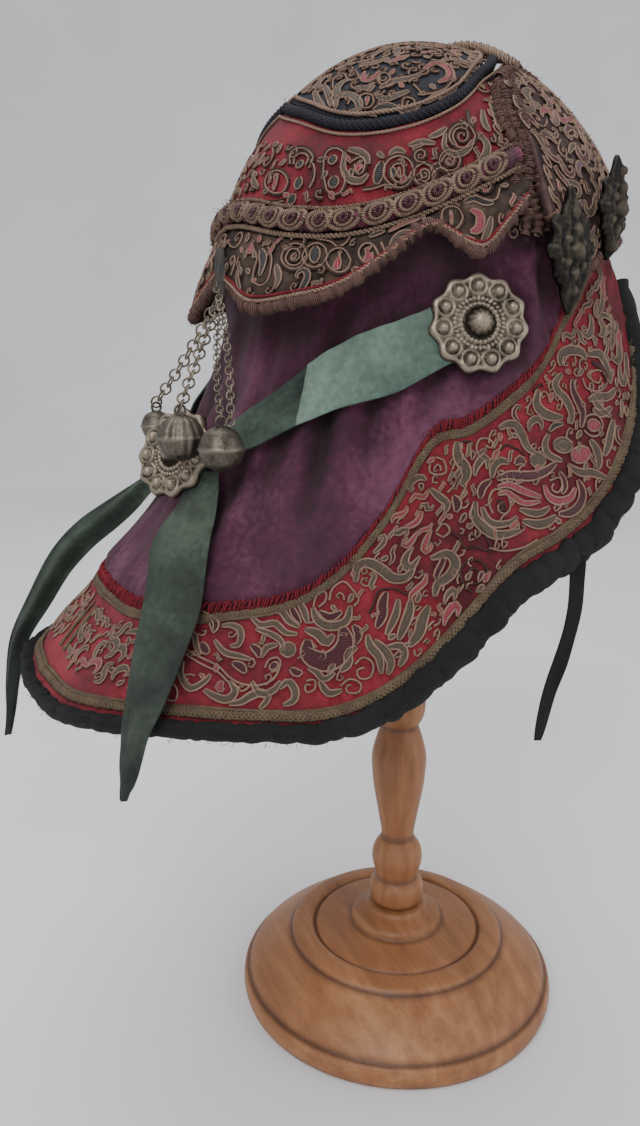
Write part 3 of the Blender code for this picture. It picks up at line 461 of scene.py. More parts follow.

# The near side of the crown: its band, flap and patch, charted in the same way
BAND_CHART = (
    # fill  cord  half width  azimuth, rise along the stroke
    ("", "light", 0.0, (25.5, .355), (25.0, .325), (22.0, .32), (18.0, .34), (15.0, .375), (15.5, .405),
     (19.0, .41), (23.0, .39), (25.5, .355)),
    ("rose", "light", 3.1, (19.5, .365), (20.5, .365), (21.0, .365)),
    ("", "light", 0.0, (24.5, .42), (23.0, .465), (27.5, .475), (32.5, .43), (32.0, .39)),
    ("", "light", 0.0, (26.0, .415), (25.5, .445), (28.0, .455), (31.0, .43), (30.5, .405)),
    ("black", "light", 1.6, (28.0, .425), (28.5, .4)),
    ("black", "light", 1.7, (29.5, .36), (29.5, .32)),
    ("black", "light", 1.8, (29.0, .3), (27.5, .27)),
    ("black", "light", 1.6, (39.0, .42), (39.5, .39)),
    ("black", "light", 1.9, (40.5, .34), (41.0, .3)),
    ("", "light", 0.0, (39.0, .295), (37.0, .37), (36.5, .43), (39.0, .45), (42.5, .42), (42.0, .375),
     (44.0, .33), (43.5, .285), (41.0, .275), (39.0, .295)),
    ("tan", "light", 1.2, (42.5, .425), (43.0, .365), (45.5, .32), (48.5, .31), (50.0, .33)),
    ("tan", "light", 1.1, (43.5, .435), (46.0, .425), (49.0, .4), (50.0, .37)),
    ("rose", "light", 2.4, (47.0, .37), (47.5, .365), (47.5, .37)),
    ("black", "light", 1.7, (53.5, .37), (53.0, .33), (52.5, .29)),
    ("", "light", 0.0, (49.0, .275), (52.0, .275), (55.0, .285)),
    ("", "light", 0.0, (61.5, .32), (60.0, .285), (57.5, .29), (56.0, .32), (56.5, .35), (58.5, .355),
     (59.5, .335), (59.5, .31), (58.5, .305), (57.5, .315), (57.5, .33), (58.0, .335)),
    ("", "light", 0.0, (62.0, .32), (61.0, .28), (58.5, .265), (55.5, .29), (54.0, .33), (55.0, .37),
     (58.0, .385), (61.0, .36), (62.0, .32)),
    ("wine", "light", 2.0, (58.0, .32), (58.0, .32), (58.5, .32)),
    ("tan", "light", 1.0, (55.5, .39), (57.0, .41), (59.5, .395)),
    ("", "light", 0.0, (65.0, .35), (63.0, .355), (62.0, .375), (62.5, .395), (64.0, .4), (65.0, .385),
     (64.5, .37), (63.5, .365), (63.0, .37), (63.0, .38), (63.5, .385), (64.0, .38)),
    ("", "light", 0.0, (67.5, .3), (66.5, .275), (64.5, .265), (62.5, .28), (62.0, .31), (62.5, .335),
     (64.5, .345), (66.5, .33), (67.5, .3)),
    ("", "light", 0.0, (64.0, .28), (65.5, .28), (66.0, .3), (65.5, .32), (64.0, .325), (63.5, .31),
     (64.0, .295), (64.5, .29), (65.5, .3), (65.0, .31), (64.5, .315), (64.5, .31)),
    ("", "light", 0.0, (71.0, .29), (70.0, .27), (68.5, .265), (67.5, .275), (66.5, .295), (67.5, .315),
     (69.0, .325), (70.0, .315), (71.0, .29)),
    ("", "dark", 0.0, (70.5, .29), (69.5, .275), (68.0, .275), (67.5, .29), (68.0, .305), (69.0, .31),
     (69.5, .3), (69.5, .285), (69.0, .285), (68.5, .29), (68.5, .295), (68.5, .3)),
    ("tan", "light", 1.0, (64.5, .27), (67.5, .25), (71.5, .26)),
    ("", "light", 0.0, (74.0, .345), (73.0, .315), (71.0, .31), (69.0, .32), (68.5, .35), (69.5, .38),
     (71.5, .39), (73.5, .375), (74.0, .345)),
    ("", "light", 0.0, (69.0, .345), (70.0, .37), (71.5, .375), (72.5, .355), (72.5, .335), (71.0, .33),
     (70.0, .34), (70.5, .355), (71.0, .36), (71.5, .355), (71.5, .345), (71.5, .345)),
    ("wine", "light", 1.6, (71.0, .35), (71.0, .345), (71.5, .35)),
    ("", "light", 0.0, (73.5, .405), (72.5, .44), (73.5, .47), (76.0, .475), (77.0, .455), (76.5, .43),
     (75.0, .42), (74.0, .43), (74.0, .45), (75.0, .455), (76.0, .45), (75.5, .44)),
    ("", "light", 0.0, (79.0, .44), (77.5, .405), (75.0, .395), (72.5, .41), (71.5, .445), (73.0, .48),
     (75.5, .495), (78.0, .48), (79.0, .44)),
    ("tan", "light", 1.1, (70.5, .455), (70.0, .405), (72.5, .37), (76.0, .385), (78.0, .42)),
    ("tan", "light", 1.0, (60.5, .42), (64.0, .43), (67.5, .42)),
    ("tan", "light", 1.0, (66.0, .445), (69.0, .46), (71.0, .48)),
    ("tan", "light", 1.2, (80.0, .455), (82.0, .4), (80.5, .35), (77.5, .315)),
    ("rose", "light", 2.2, (75.0, .285), (75.5, .28), (76.0, .285)),
    ("tan", "dark", 1.0, (78.0, .55), (78.0, .505), (79.0, .475)),
    ("tan", "light", 1.1, (83.0, .55), (82.5, .495), (83.5, .46)),
    ("tan", "light", 1.0, (86.5, .585), (87.0, .53), (86.5, .475)),
    ("", "light", 0.0, (33.5, .315), (34.5, .35), (34.0, .385), (32.0, .42)),
    ("", "light", 0.0, (45.5, .39), (47.5, .4), (49.0, .375), (48.5, .34), (47.0, .34), (46.0, .375)),
    ("tan", "light", 1.0, (3.5, .455), (6.5, .475), (8.5, .5)),
    ("tan", "light", 1.1, (12.5, .36), (7.5, .4), (6.0, .435)),
    ("", "light", 0.0, (17.0, .295), (22.5, .285), (25.5, .285)),
)
FLAP_CHART = (
    # fill  cord  half width  azimuth, share along the stroke
    ("black", "light", 1.5, (22.5, .23), (25.0, .38), (25.5, .56)),
    ("", "light", 0.0, (18.0, .2), (22.5, .37), (23.0, .6), (26.5, .69), (28.5, .59), (27.5, .34),
     (24.5, .18)),
    ("rose", "light", 2.7, (17.5, .24), (18.5, .24), (19.0, .22)),
    ("rose", "light", 2.4, (25.5, .21), (26.0, .21), (26.5, .21)),
    ("", "light", 0.0, (37.0, .31), (36.0, .43), (33.5, .43), (31.5, .32), (31.5, .21), (33.5, .19),
     (35.0, .25), (35.5, .34), (34.5, .37), (33.0, .33), (33.0, .28), (33.5, .26)),
    ("", "light", 0.0, (37.5, .31), (37.0, .45), (35.0, .5), (32.0, .42), (30.0, .29), (30.5, .16),
     (32.5, .1), (35.5, .16), (37.5, .31)),
    ("wine", "light", 1.6, (33.5, .29), (34.0, .3), (34.0, .29)),
    ("black", "light", 1.9, (38.5, .16), (40.0, .43)),
    ("", "light", 0.0, (42.5, .33), (42.0, .47), (40.0, .51), (37.5, .43), (36.0, .29), (36.5, .16),
     (38.5, .1), (41.0, .17), (42.5, .33)),
    ("rose", "light", 3.8, (45.0, .45), (45.5, .47), (46.0, .47)),
    ("", "light", 0.0, (48.5, .56), (48.0, .71), (46.0, .7), (44.0, .58), (42.5, .41), (43.0, .27),
     (45.0, .23), (47.0, .34), (48.5, .56)),
    ("rose", "light", 3.1, (52.0, .59), (52.5, .64), (52.5, .62)),
    ("", "light", 0.0, (54.5, .79), (54.0, .95), (52.5, .88), (51.0, .69), (50.0, .47), (50.5, .33),
     (52.0, .33), (53.5, .5), (54.5, .79)),
    ("black", "light", 1.1, (52.0, .17), (53.5, .14), (55.5, .16)),
    ("", "light", 0.0, (35.5, .0), (42.0, .08), (44.5, .2), (46.5, .14), (47.0, .0), (49.0, .0), (51.5, .0)),
    ("", "light", 0.0, (30.5, .05), (31.5, .0), (34.0, .0), (35.0, .12), (34.0, .2)),
    ("tan", "light", 1.2, (57.0, .77), (59.0, .61), (61.5, .82)),
    ("rose", "light", 1.0, (56.5, .24), (60.0, .2), (63.5, .4)),
    ("", "light", 0.0, (73.0, .44), (72.0, .66), (70.0, .94), (68.5, 1.0), (68.0, .61), (69.0, .18),
     (71.0, .13), (72.5, .25), (73.0, .44)),
    ("rose", "light", 2.9, (70.0, .52), (70.5, .51), (70.5, .51)),
    ("rose", "light", 1.4, (75.0, .29), (77.0, .41), (76.5, .61), (74.5, .7)),
    ("black", "light", 1.3, (74.0, .12), (76.5, .11), (78.5, .24), (80.5, .35)),
    ("", "light", 0.0, (77.5, .0), (81.5, .0), (80.5, .1), (79.5, .1), (78.5, .01), (79.0, .0), (80.0, .0),
     (80.5, .0), (80.0, .01), (79.5, .02)),
    ("rose", "light", 1.8, (79.5, .03), (79.5, .04), (80.0, .05)),
    ("", "light", 0.0, (67.5, .01), (68.5, .0), (71.0, .0), (73.0, .18)),
    ("", "light", 0.0, (73.5, .02), (76.0, .0), (78.5, .17), (81.5, .33), (83.0, .19)),
    ("tan", "light", 1.2, (72.5, .89), (74.5, .88), (76.5, .92)),
    ("tan", "light", 1.1, (79.5, .54), (78.5, .7), (77.0, .83)),
    ("tan", "light", 1.2, (29.5, .42), (31.5, .61), (31.0, .75)),
    ("tan", "light", 1.2, (49.0, .75), (51.0, 1.0)),
    ("", "light", 0.0, (54.5, 1.0), (56.0, .93), (55.0, .49)),
)
PATCH_CHART = (
    # fill  cord  half width  plan x, y along the stroke
    ("rose", "light", 1.3, (-42.3, 20.3), (-40.9, 14.8), (-44.6, 12.1), (-48.1, 13.6), (-48.8, 18.2)),
    ("", "light", 0.0, (-45.8, 26.2), (-50.1, 24.6), (-51.6, 19.8), (-50.8, 15.3), (-47.1, 11.0),
     (-42.0, 11.0), (-38.6, 15.2)),
    ("rose", "light", 2.2, (-39.9, 41.3), (-40.2, 40.9), (-40.6, 40.5)),
    ("", "light", 0.0, (-42.1, 39.3), (-42.7, 40.5), (-41.9, 41.9), (-40.1, 43.0), (-37.9, 42.8),
     (-36.8, 41.5), (-37.9, 39.9), (-40.2, 38.8), (-42.1, 39.3)),
    ("tan", "light", 1.3, (-32.4, 48.8), (-29.6, 47.0), (-31.8, 44.5), (-36.8, 43.0), (-40.1, 43.8),
     (-37.7, 46.5)),
    ("", "light", 0.0, (-23.6, 45.8), (-18.5, 42.8), (-20.3, 40.2), (-26.8, 41.1), (-29.8, 38.8),
     (-25.4, 37.5)),
    ("tan", "light", 1.3, (-39.9, 35.9), (-40.7, 31.7), (-43.2, 26.2), (-43.5, 21.9)),
    ("tan", "light", 1.2, (-40.1, 38.0), (-44.1, 36.3), (-45.8, 32.5), (-47.0, 28.6)),
    ("", "light", 0.0, (-52.0, 27.3), (-52.8, 29.6), (-51.5, 32.0), (-49.3, 32.4), (-47.9, 31.0),
     (-48.9, 29.2), (-50.5, 28.3), (-51.3, 29.3), (-51.3, 30.6), (-50.3, 31.2), (-49.5, 30.7), (-49.5, 30.1)),
    ("tan", "light", 1.3, (-48.4, 33.8), (-51.5, 32.0), (-52.5, 27.6)),
    ("tan", "light", 1.1, (-14.1, 48.6), (-21.9, 50.7), (-28.0, 51.0)),
    ("tan", "light", 1.1, (-17.7, 46.2), (-25.3, 48.0), (-29.9, 49.4)),
    ("rose", "light", 1.1, (-32.0, 28.3), (-32.3, 24.2), (-32.5, 20.6)),
    ("tan", "light", 1.2, (-54.0, 20.7), (-53.3, 16.6), (-51.7, 13.1)),
    ("tan", "light", 1.1, (-52.6, 25.9), (-52.5, 21.2), (-51.9, 16.7)),
    ("", "light", 0.0, (-38.9, 31.4), (-39.9, 32.8), (-39.9, 34.1), (-38.2, 35.0), (-35.8, 34.6),
     (-34.9, 33.1), (-35.3, 31.8), (-37.1, 31.1), (-38.9, 31.4)),
    ("black", "light", 1.5, (-44.3, 40.5), (-45.5, 37.5), (-48.9, 34.1)),
    ("tan", "light", 1.2, (-23.1, 35.3), (-27.5, 31.6), (-29.1, 26.6)),
    ("tan", "light", 1.1, (-32.1, 41.7), (-36.3, 38.9), (-36.4, 36.4)),
    ("", "light", 0.0, (-35.8, 47.4), (-40.4, 45.6), (-43.5, 42.8), (-46.4, 40.3)),
)

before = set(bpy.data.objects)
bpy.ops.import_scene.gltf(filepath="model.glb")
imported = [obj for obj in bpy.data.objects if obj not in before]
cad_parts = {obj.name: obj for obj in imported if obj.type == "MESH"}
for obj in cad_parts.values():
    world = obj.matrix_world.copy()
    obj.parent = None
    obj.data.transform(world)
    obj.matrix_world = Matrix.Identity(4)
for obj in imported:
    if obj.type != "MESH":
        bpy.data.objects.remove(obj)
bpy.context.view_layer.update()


def read_table(table, key):
    """Read a table at keys between its rows, along a smooth curve through them."""
    rows = np.asarray(table, float)
    keys, values = rows[:, 0], rows[:, 1:]
    slopes = np.empty_like(values)
    slopes[1:-1] = (values[2:] - values[:-2]) / (keys[2:] - keys[:-2])[:, None]
    slopes[0] = (values[1] - values[0]) / (keys[1] - keys[0])
    slopes[-1] = (values[-1] - values[-2]) / (keys[-1] - keys[-2])
    key = np.asarray(key, float)
    index = np.clip(np.searchsorted(keys, key, side="right") - 1, 0, len(keys) - 2)
    step = (keys[index + 1] - keys[index])[..., None]
    part = np.clip((key - keys[index])[..., None] / step, 0.0, 1.0)
    start = values[index] * (2 * part**3 - 3 * part**2 + 1)
    start = start + slopes[index] * step * (part**3 - 2 * part**2 + part)
    end = values[index + 1] * (3 * part**2 - 2 * part**3)
    end = end + slopes[index + 1] * step * (part**3 - part**2)
    return start + end


def ripple(u, v, waves, seed, count=7):
    """Return a smooth uneven field from about -1 to 1, of seeded waves of about the given number per unit."""
    random = np.random.default_rng(seed)
    total = np.zeros(np.broadcast(u, v).shape)
    for _ in range(count):
        fast = waves[0] * random.uniform(0.5, 1.5) * random.choice((-1, 1))
        slow = waves[1] * random.uniform(0.5, 1.5)
        total = total + np.sin(2 * pi * (fast * u + slow * v) + random.uniform(0, 2 * pi))
    return total / count**0.5 * 0.7


def unit(vectors):
    """Return vectors scaled to length 1."""
    return vectors / np.maximum(np.linalg.norm(vectors, axis=-1, keepdims=True), 1e-9)


def beside(points, normals):
    """Return the direction across a line at each of its points, level with the surface under it."""
    return unit(np.cross(normals, np.gradient(points, axis=0)))


def crossed(first, second):
    """Return two grids that pair every number of one row with every number of another."""
    return np.meshgrid(first, second, indexing="ij")


def full_turn(count):
    """Return even angles round a circle."""
    return np.linspace(0, 2 * pi, count, endpoint=False)


def along_length(points):
    """Return the distance along a line at each of its points."""
    return np.concatenate([[0.0], np.cumsum(np.linalg.norm(np.diff(points, axis=0), axis=-1))])


def read_line(spots, along, rows):
    """Read rows that are kept at distances along a line again at other distances."""
    return np.stack([np.interp(spots, along, column) for column in rows.T], axis=-1)
class Surface:
    """A surface of the hat in millimetres, sampled once on a fine grid and read between its points."""

    def __init__(self, place, u_span, v_span, counts, facing):
        self.spans = (u_span, v_span)
        self.counts = counts
        self.points = place(*crossed(np.linspace(*u_span, counts[0]), np.linspace(*v_span, counts[1])))
        along_u = np.gradient(self.points, axis=0)
        along_v = np.gradient(self.points, axis=1)
        self.normals = unit(np.cross(along_v, along_u) * facing)

    def read(self, grid, u, v):
        """Read a grid at places between its points."""
        places = []
        for value, (low, high), count in zip((u, v), self.spans, self.counts):
            spot = np.clip((np.asarray(value, float) - low) / (high - low) * (count - 1), 0, count - 1.0001)
            places.append((spot.astype(int), (spot % 1.0)[..., None]))
        (i, a), (j, b) = places
        near = grid[i, j] * (1 - b) + grid[i, j + 1] * b
        far = grid[i + 1, j] * (1 - b) + grid[i + 1, j + 1] * b
        return near * (1 - a) + far * a

    def normal(self, u, v):
        """Return the outward direction at each place."""
        return unit(self.read(self.normals, u, v))

    def at(self, u, v, height=0.0):
        """Return points at a height over the surface."""
        u, v, height = np.broadcast_arrays(np.asarray(u, float), np.asarray(v, float), height)
        return self.read(self.points, u, v) + self.normal(u, v) * np.asarray(height, float)[..., None]

    def scale(self, u, v):
        """Return how many millimetres one unit of u and of v is at a place."""
        steps = [(high - low) * 0.004 for low, high in self.spans]
        across = np.linalg.norm(self.at(u + steps[0], v) - self.at(u - steps[0], v), axis=-1) / (2 * steps[0])
        down = np.linalg.norm(self.at(u, v + steps[1]) - self.at(u, v - steps[1]), axis=-1) / (2 * steps[1])
        return across, down


def cape_place(share, drop):
    """Return the cape's outer surface: share 0 is the back seam, 1 the wearer's right front edge."""
    row = read_table(CAPE, np.abs(share))
    down = np.asarray(drop, float)[..., None]
    point = row[..., 0:3] * (1 - down) ** 2 + row[..., 3:6] * 2 * down * (1 - down) + row[..., 6:9] * down**2
    point[..., 0] *= np.where(share < 0, -1, 1)
    return point


def border_start(share):
    """Return the drop at which the red border begins."""
    return read_table(CAPE, np.abs(share))[..., 9]

def patch_edge(azimuth):
    """Return the rise of the navy patch's edge."""
    return read_table(PATCH_EDGE, np.abs(azimuth))[..., 0]


def roll_line(azimuth):
    """Return the rise of the padded roll's middle."""
    return read_table(ROLL_LINE, np.abs(azimuth))[..., 0]


def crown_place(azimuth, rise):
    """Return the crown's surface: azimuth 0 is the back, 90 the wearer's right, 180 the brow."""
    turn = np.radians(azimuth)
    lift = np.clip(rise, 0.0, 1.0)
    reach = (1.0 - lift**CROWN_ROUNDNESS) ** (1.0 / CROWN_ROUNDNESS)
    x = -CROWN_HALF_WIDTH * reach * np.sin(turn)
    y = CROWN_HALF_LENGTH * reach * np.cos(turn)
    z = CROWN_BASE + CROWN_HEIGHT * rise - RING_SLOPE * y * (1.0 - lift)
    return np.stack([x, y, z], axis=-1)


def dome_place(x, y):
    """Return the crown's top over a place in plan."""
    reach = np.minimum(np.hypot(x / CROWN_HALF_WIDTH, y / CROWN_HALF_LENGTH), 0.999)
    lift = (1.0 - reach**CROWN_ROUNDNESS) ** (1.0 / CROWN_ROUNDNESS)
    z = CROWN_BASE + CROWN_HEIGHT * lift - RING_SLOPE * y * (1.0 - lift)
    return np.stack([x, y, z], axis=-1)


def rise_at(azimuth, height):
    """Return the rise at which the crown, or the wall below it, has a height."""
    low = np.full(np.shape(azimuth), -0.6)
    high = np.ones(np.shape(azimuth))
    for _ in range(30):
        middle = 0.5 * (low + high)
        below = crown_place(azimuth, middle)[..., 2] < height
        low = np.where(below, middle, low)
        high = np.where(below, high, middle)
    return 0.5 * (low + high)


cape = Surface(cape_place, (-1.0, 1.0), (0.0, 1.0), (501, 161), 1)
crown = Surface(crown_place, (-180.0, 180.0), (-0.3, 0.97), (361, 181), -1)
dome = Surface(dome_place, (-70.0, 70.0), (-74.0, 74.0), (141, 149), -1)
CAPE_LENGTHS = np.linalg.norm(np.diff(cape.points, axis=1), axis=-1).sum(axis=1)


def cape_length(share):
    """Return the length of the cape's curve from the head ring to the hem."""
    return np.interp(share, np.linspace(-1.0, 1.0, len(CAPE_LENGTHS)), CAPE_LENGTHS)


def flap_place(azimuth, share):
    """Return the scalloped flap's outer face, from under the roll (0) to its edge (1)."""
    level, flare = np.moveaxis(read_table(FLAP_EDGE, np.abs(azimuth)), -1, 0)
    top = crown.at(azimuth, roll_line(azimuth) - ROLL_SETBACK, LAYER_GAP + CLOTH)
    turn = np.radians(azimuth)
    y = (CROWN_HALF_LENGTH + flare) * np.cos(turn)
    x = -(CROWN_HALF_WIDTH + flare) * np.sin(turn)
    edge = np.stack([x, y, level - RING_SLOPE * y], axis=-1)
    outward = unit(np.stack([x, y, np.zeros_like(x)], axis=-1))
    down = np.asarray(share, float)[..., None]
    return top * (1 - down) + edge * down + outward * FLAP_BULGE * np.sin(pi * down)


def forehead_place(azimuth, share):
    """Return the forehead band's outer face, from its top edge (0) to its lower edge (1)."""
    near = np.where(azimuth <= 180, azimuth, azimuth - 360)
    bottom, top, flare = np.moveaxis(read_table(FOREHEAD_BAND, np.abs(near)), -1, 0)
    low = rise_at(np.abs(near), bottom)
    rise = top + (low - top) * share
    height = LAYER_GAP + PADDED_CLOTH + flare * np.maximum(share - 0.35, 0.0) / 0.65
    return crown.at(near, rise, height)


flap = Surface(flap_place, (-90.0, 90.0), (0.0, 1.0), (181, 31), 1)
forehead = Surface(forehead_place, (95.0, 265.0), (0.0, 1.0), (171, 41), 1)


class Pile:
    """Patches of quads gathered for one mesh, with a thread coordinate and a shade at each point."""

    def __init__(self):
        self.points = []
        self.faces = []
        self.threads = []
        self.shades = []
        self.count = 0

    def add(self, grid, thread=None, shade=0.5, close_u=False, close_v=False, flip=False):
        """Add a grid of points. thread is (along, across) in millimetres for each point."""
        rows, columns = grid.shape[:2]
        index = np.arange(rows * columns).reshape(rows, columns) + self.count
        if close_v:
            index = np.concatenate([index, index[:, :1]], axis=1)
        if close_u:
            index = np.concatenate([index, index[:1]], axis=0)
        quads = np.stack([index[:-1, :-1], index[1:, :-1], index[1:, 1:], index[:-1, 1:]], axis=-1)
        if thread is None:
            along = np.linalg.norm(np.diff(grid, axis=0), axis=-1).mean(axis=1)
            across = np.linalg.norm(np.diff(grid, axis=1), axis=-1).mean(axis=0)
            steps = [np.concatenate([[0.0], np.cumsum(step)]) for step in (along, across)]
            thread = np.stack(crossed(*steps), axis=-1)
        self.points.append(grid.reshape(-1, 3))
        self.faces.append(quads.reshape(-1, 4)[:, :: -1 if flip else 1])
        self.threads.append(thread.reshape(-1, 2))
        self.shades.append(np.broadcast_to(shade, (rows, columns)).reshape(-1))
        self.count += rows * columns

    def make(self, name, material, slot, replaces=(), thickness=0.0, weld=False):
        """Make the mesh, give it its material and let it ride on the one body."""
        mesh = bpy.data.meshes.new(name)
        points = np.concatenate(self.points) * MM
        mesh.from_pydata(points.tolist(), [], np.concatenate(self.faces).tolist())
        threads = np.concatenate(self.threads)
        threads = np.concatenate([threads, np.zeros((len(threads), 1))], axis=1)
        mesh.attributes.new("thread", "FLOAT_VECTOR", "POINT").data.foreach_set("vector", threads.ravel())
        mesh.attributes.new("shade", "FLOAT", "POINT").data.foreach_set("value", np.concatenate(self.shades))
        mesh.validate()
        mesh.shade_smooth()
        mesh.materials.append(materials[material])
        piece = bpy.data.objects.new(name, mesh)
        bpy.context.scene.collection.objects.link(piece)
        if weld:
            joined = piece.modifiers.new("weld", "WELD")
            joined.merge_threshold = WELD_REACH * MM
        if thickness:
            shell = piece.modifiers.new("thickness", "SOLIDIFY")
            shell.thickness = thickness * MM
            shell.offset = -1.0
        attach(piece, BODY)
        if replaces:
            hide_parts(*replaces)
        return piece

def add_grid(name, grid, material, slot, nodes=(), thickness=0.0, fill=None, weld=False, thread=None,
             shade=0.5, **joins):
    pile = Pile()
    pile.add(grid, thread, shade, **joins)
    piece = pile.make(name, material, slot, nodes, thickness, weld)
    return piece


def add_tube(pile, points, normals, radius, sides=5, closed=False, shade=0.5):
    """Add a tube along points to a pile, with its sides set out from the normals."""
    if closed:
        ahead = np.roll(points, -1, axis=0) - np.roll(points, 1, axis=0)
    else:
        ahead = np.gradient(points, axis=0)
    side = unit(np.cross(normals, ahead))
    over = unit(np.cross(ahead, side))
    turn = np.arange(sides) * 2 * pi / sides
    radius = np.broadcast_to(np.asarray(radius, float), (len(points),))[:, None, None]
    ring = side[:, None, :] * np.cos(turn)[None, :, None] + over[:, None, :] * np.sin(turn)[None, :, None]
    thread = np.stack(crossed(along_length(points), np.arange(sides) / sides), axis=-1)
    pile.add(points[:, None, :] + ring * radius, thread, shade, close_u=closed, close_v=True, flip=True)


def curve_through(points, count):
    """Return a smooth line of points through control points of any dimension."""
    points = np.asarray(points, float)
    steps = np.linalg.norm(np.diff(points, axis=0), axis=-1) ** 0.5
    keys = np.concatenate([[0.0], np.cumsum(np.maximum(steps, 1e-6))])
    places = np.linspace(0, keys[-1], count)
    if len(points) < 3:
        return read_line(places, keys, points)
    return read_table(np.concatenate([keys[:, None], points], axis=1), places)

# Strokes of the small motifs, with x across and y up, for a motif of half size 1
MOTIFS = {
    # name: x, y, half width along the stroke
    "ess": ((-0.95, 0.2, 0.04), (-0.6, 0.62, 0.16), (-0.1, 0.3, 0.24), (0.15, -0.3, 0.24), (0.6, -0.6, 0.16),
            (0.95, -0.15, 0.04)),
    "hook": ((-0.9, -0.7, 0.05), (-0.2, -0.55, 0.22), (0.5, -0.1, 0.24), (0.5, 0.6, 0.18),
             (-0.05, 0.75, 0.12), (-0.2, 0.35, 0.04)),
    "crescent": ((-0.8, 0.55, 0.05), (-0.75, -0.2, 0.25), (0.0, -0.65, 0.34), (0.75, -0.2, 0.25),
                 (0.8, 0.55, 0.05)),
    "drop": ((-0.8, -0.1, 0.04), (-0.2, 0.05, 0.3), (0.35, 0.0, 0.42), (0.8, -0.1, 0.1)),
    "wave": ((-1.0, 0.0, 0.04), (-0.5, 0.35, 0.17), (0.0, 0.0, 0.2), (0.5, -0.35, 0.17), (1.0, 0.0, 0.04)),
    "curl": ((0.9, -0.8, 0.0), (0.3, -0.75, 0.0), (-0.5, -0.3, 0.0), (-0.55, 0.45, 0.0), (0.1, 0.7, 0.0),
             (0.5, 0.25, 0.0), (0.2, -0.15, 0.0), (-0.1, 0.1, 0.0), (0.08, 0.25, 0.0)),
}
CORD_RADIUS = 0.39
CORD_SIDES = 4
CORD_STEP = 1.25
TWIN_SPACING = 1.9
BARE_CORD_WIDTH = 0.3


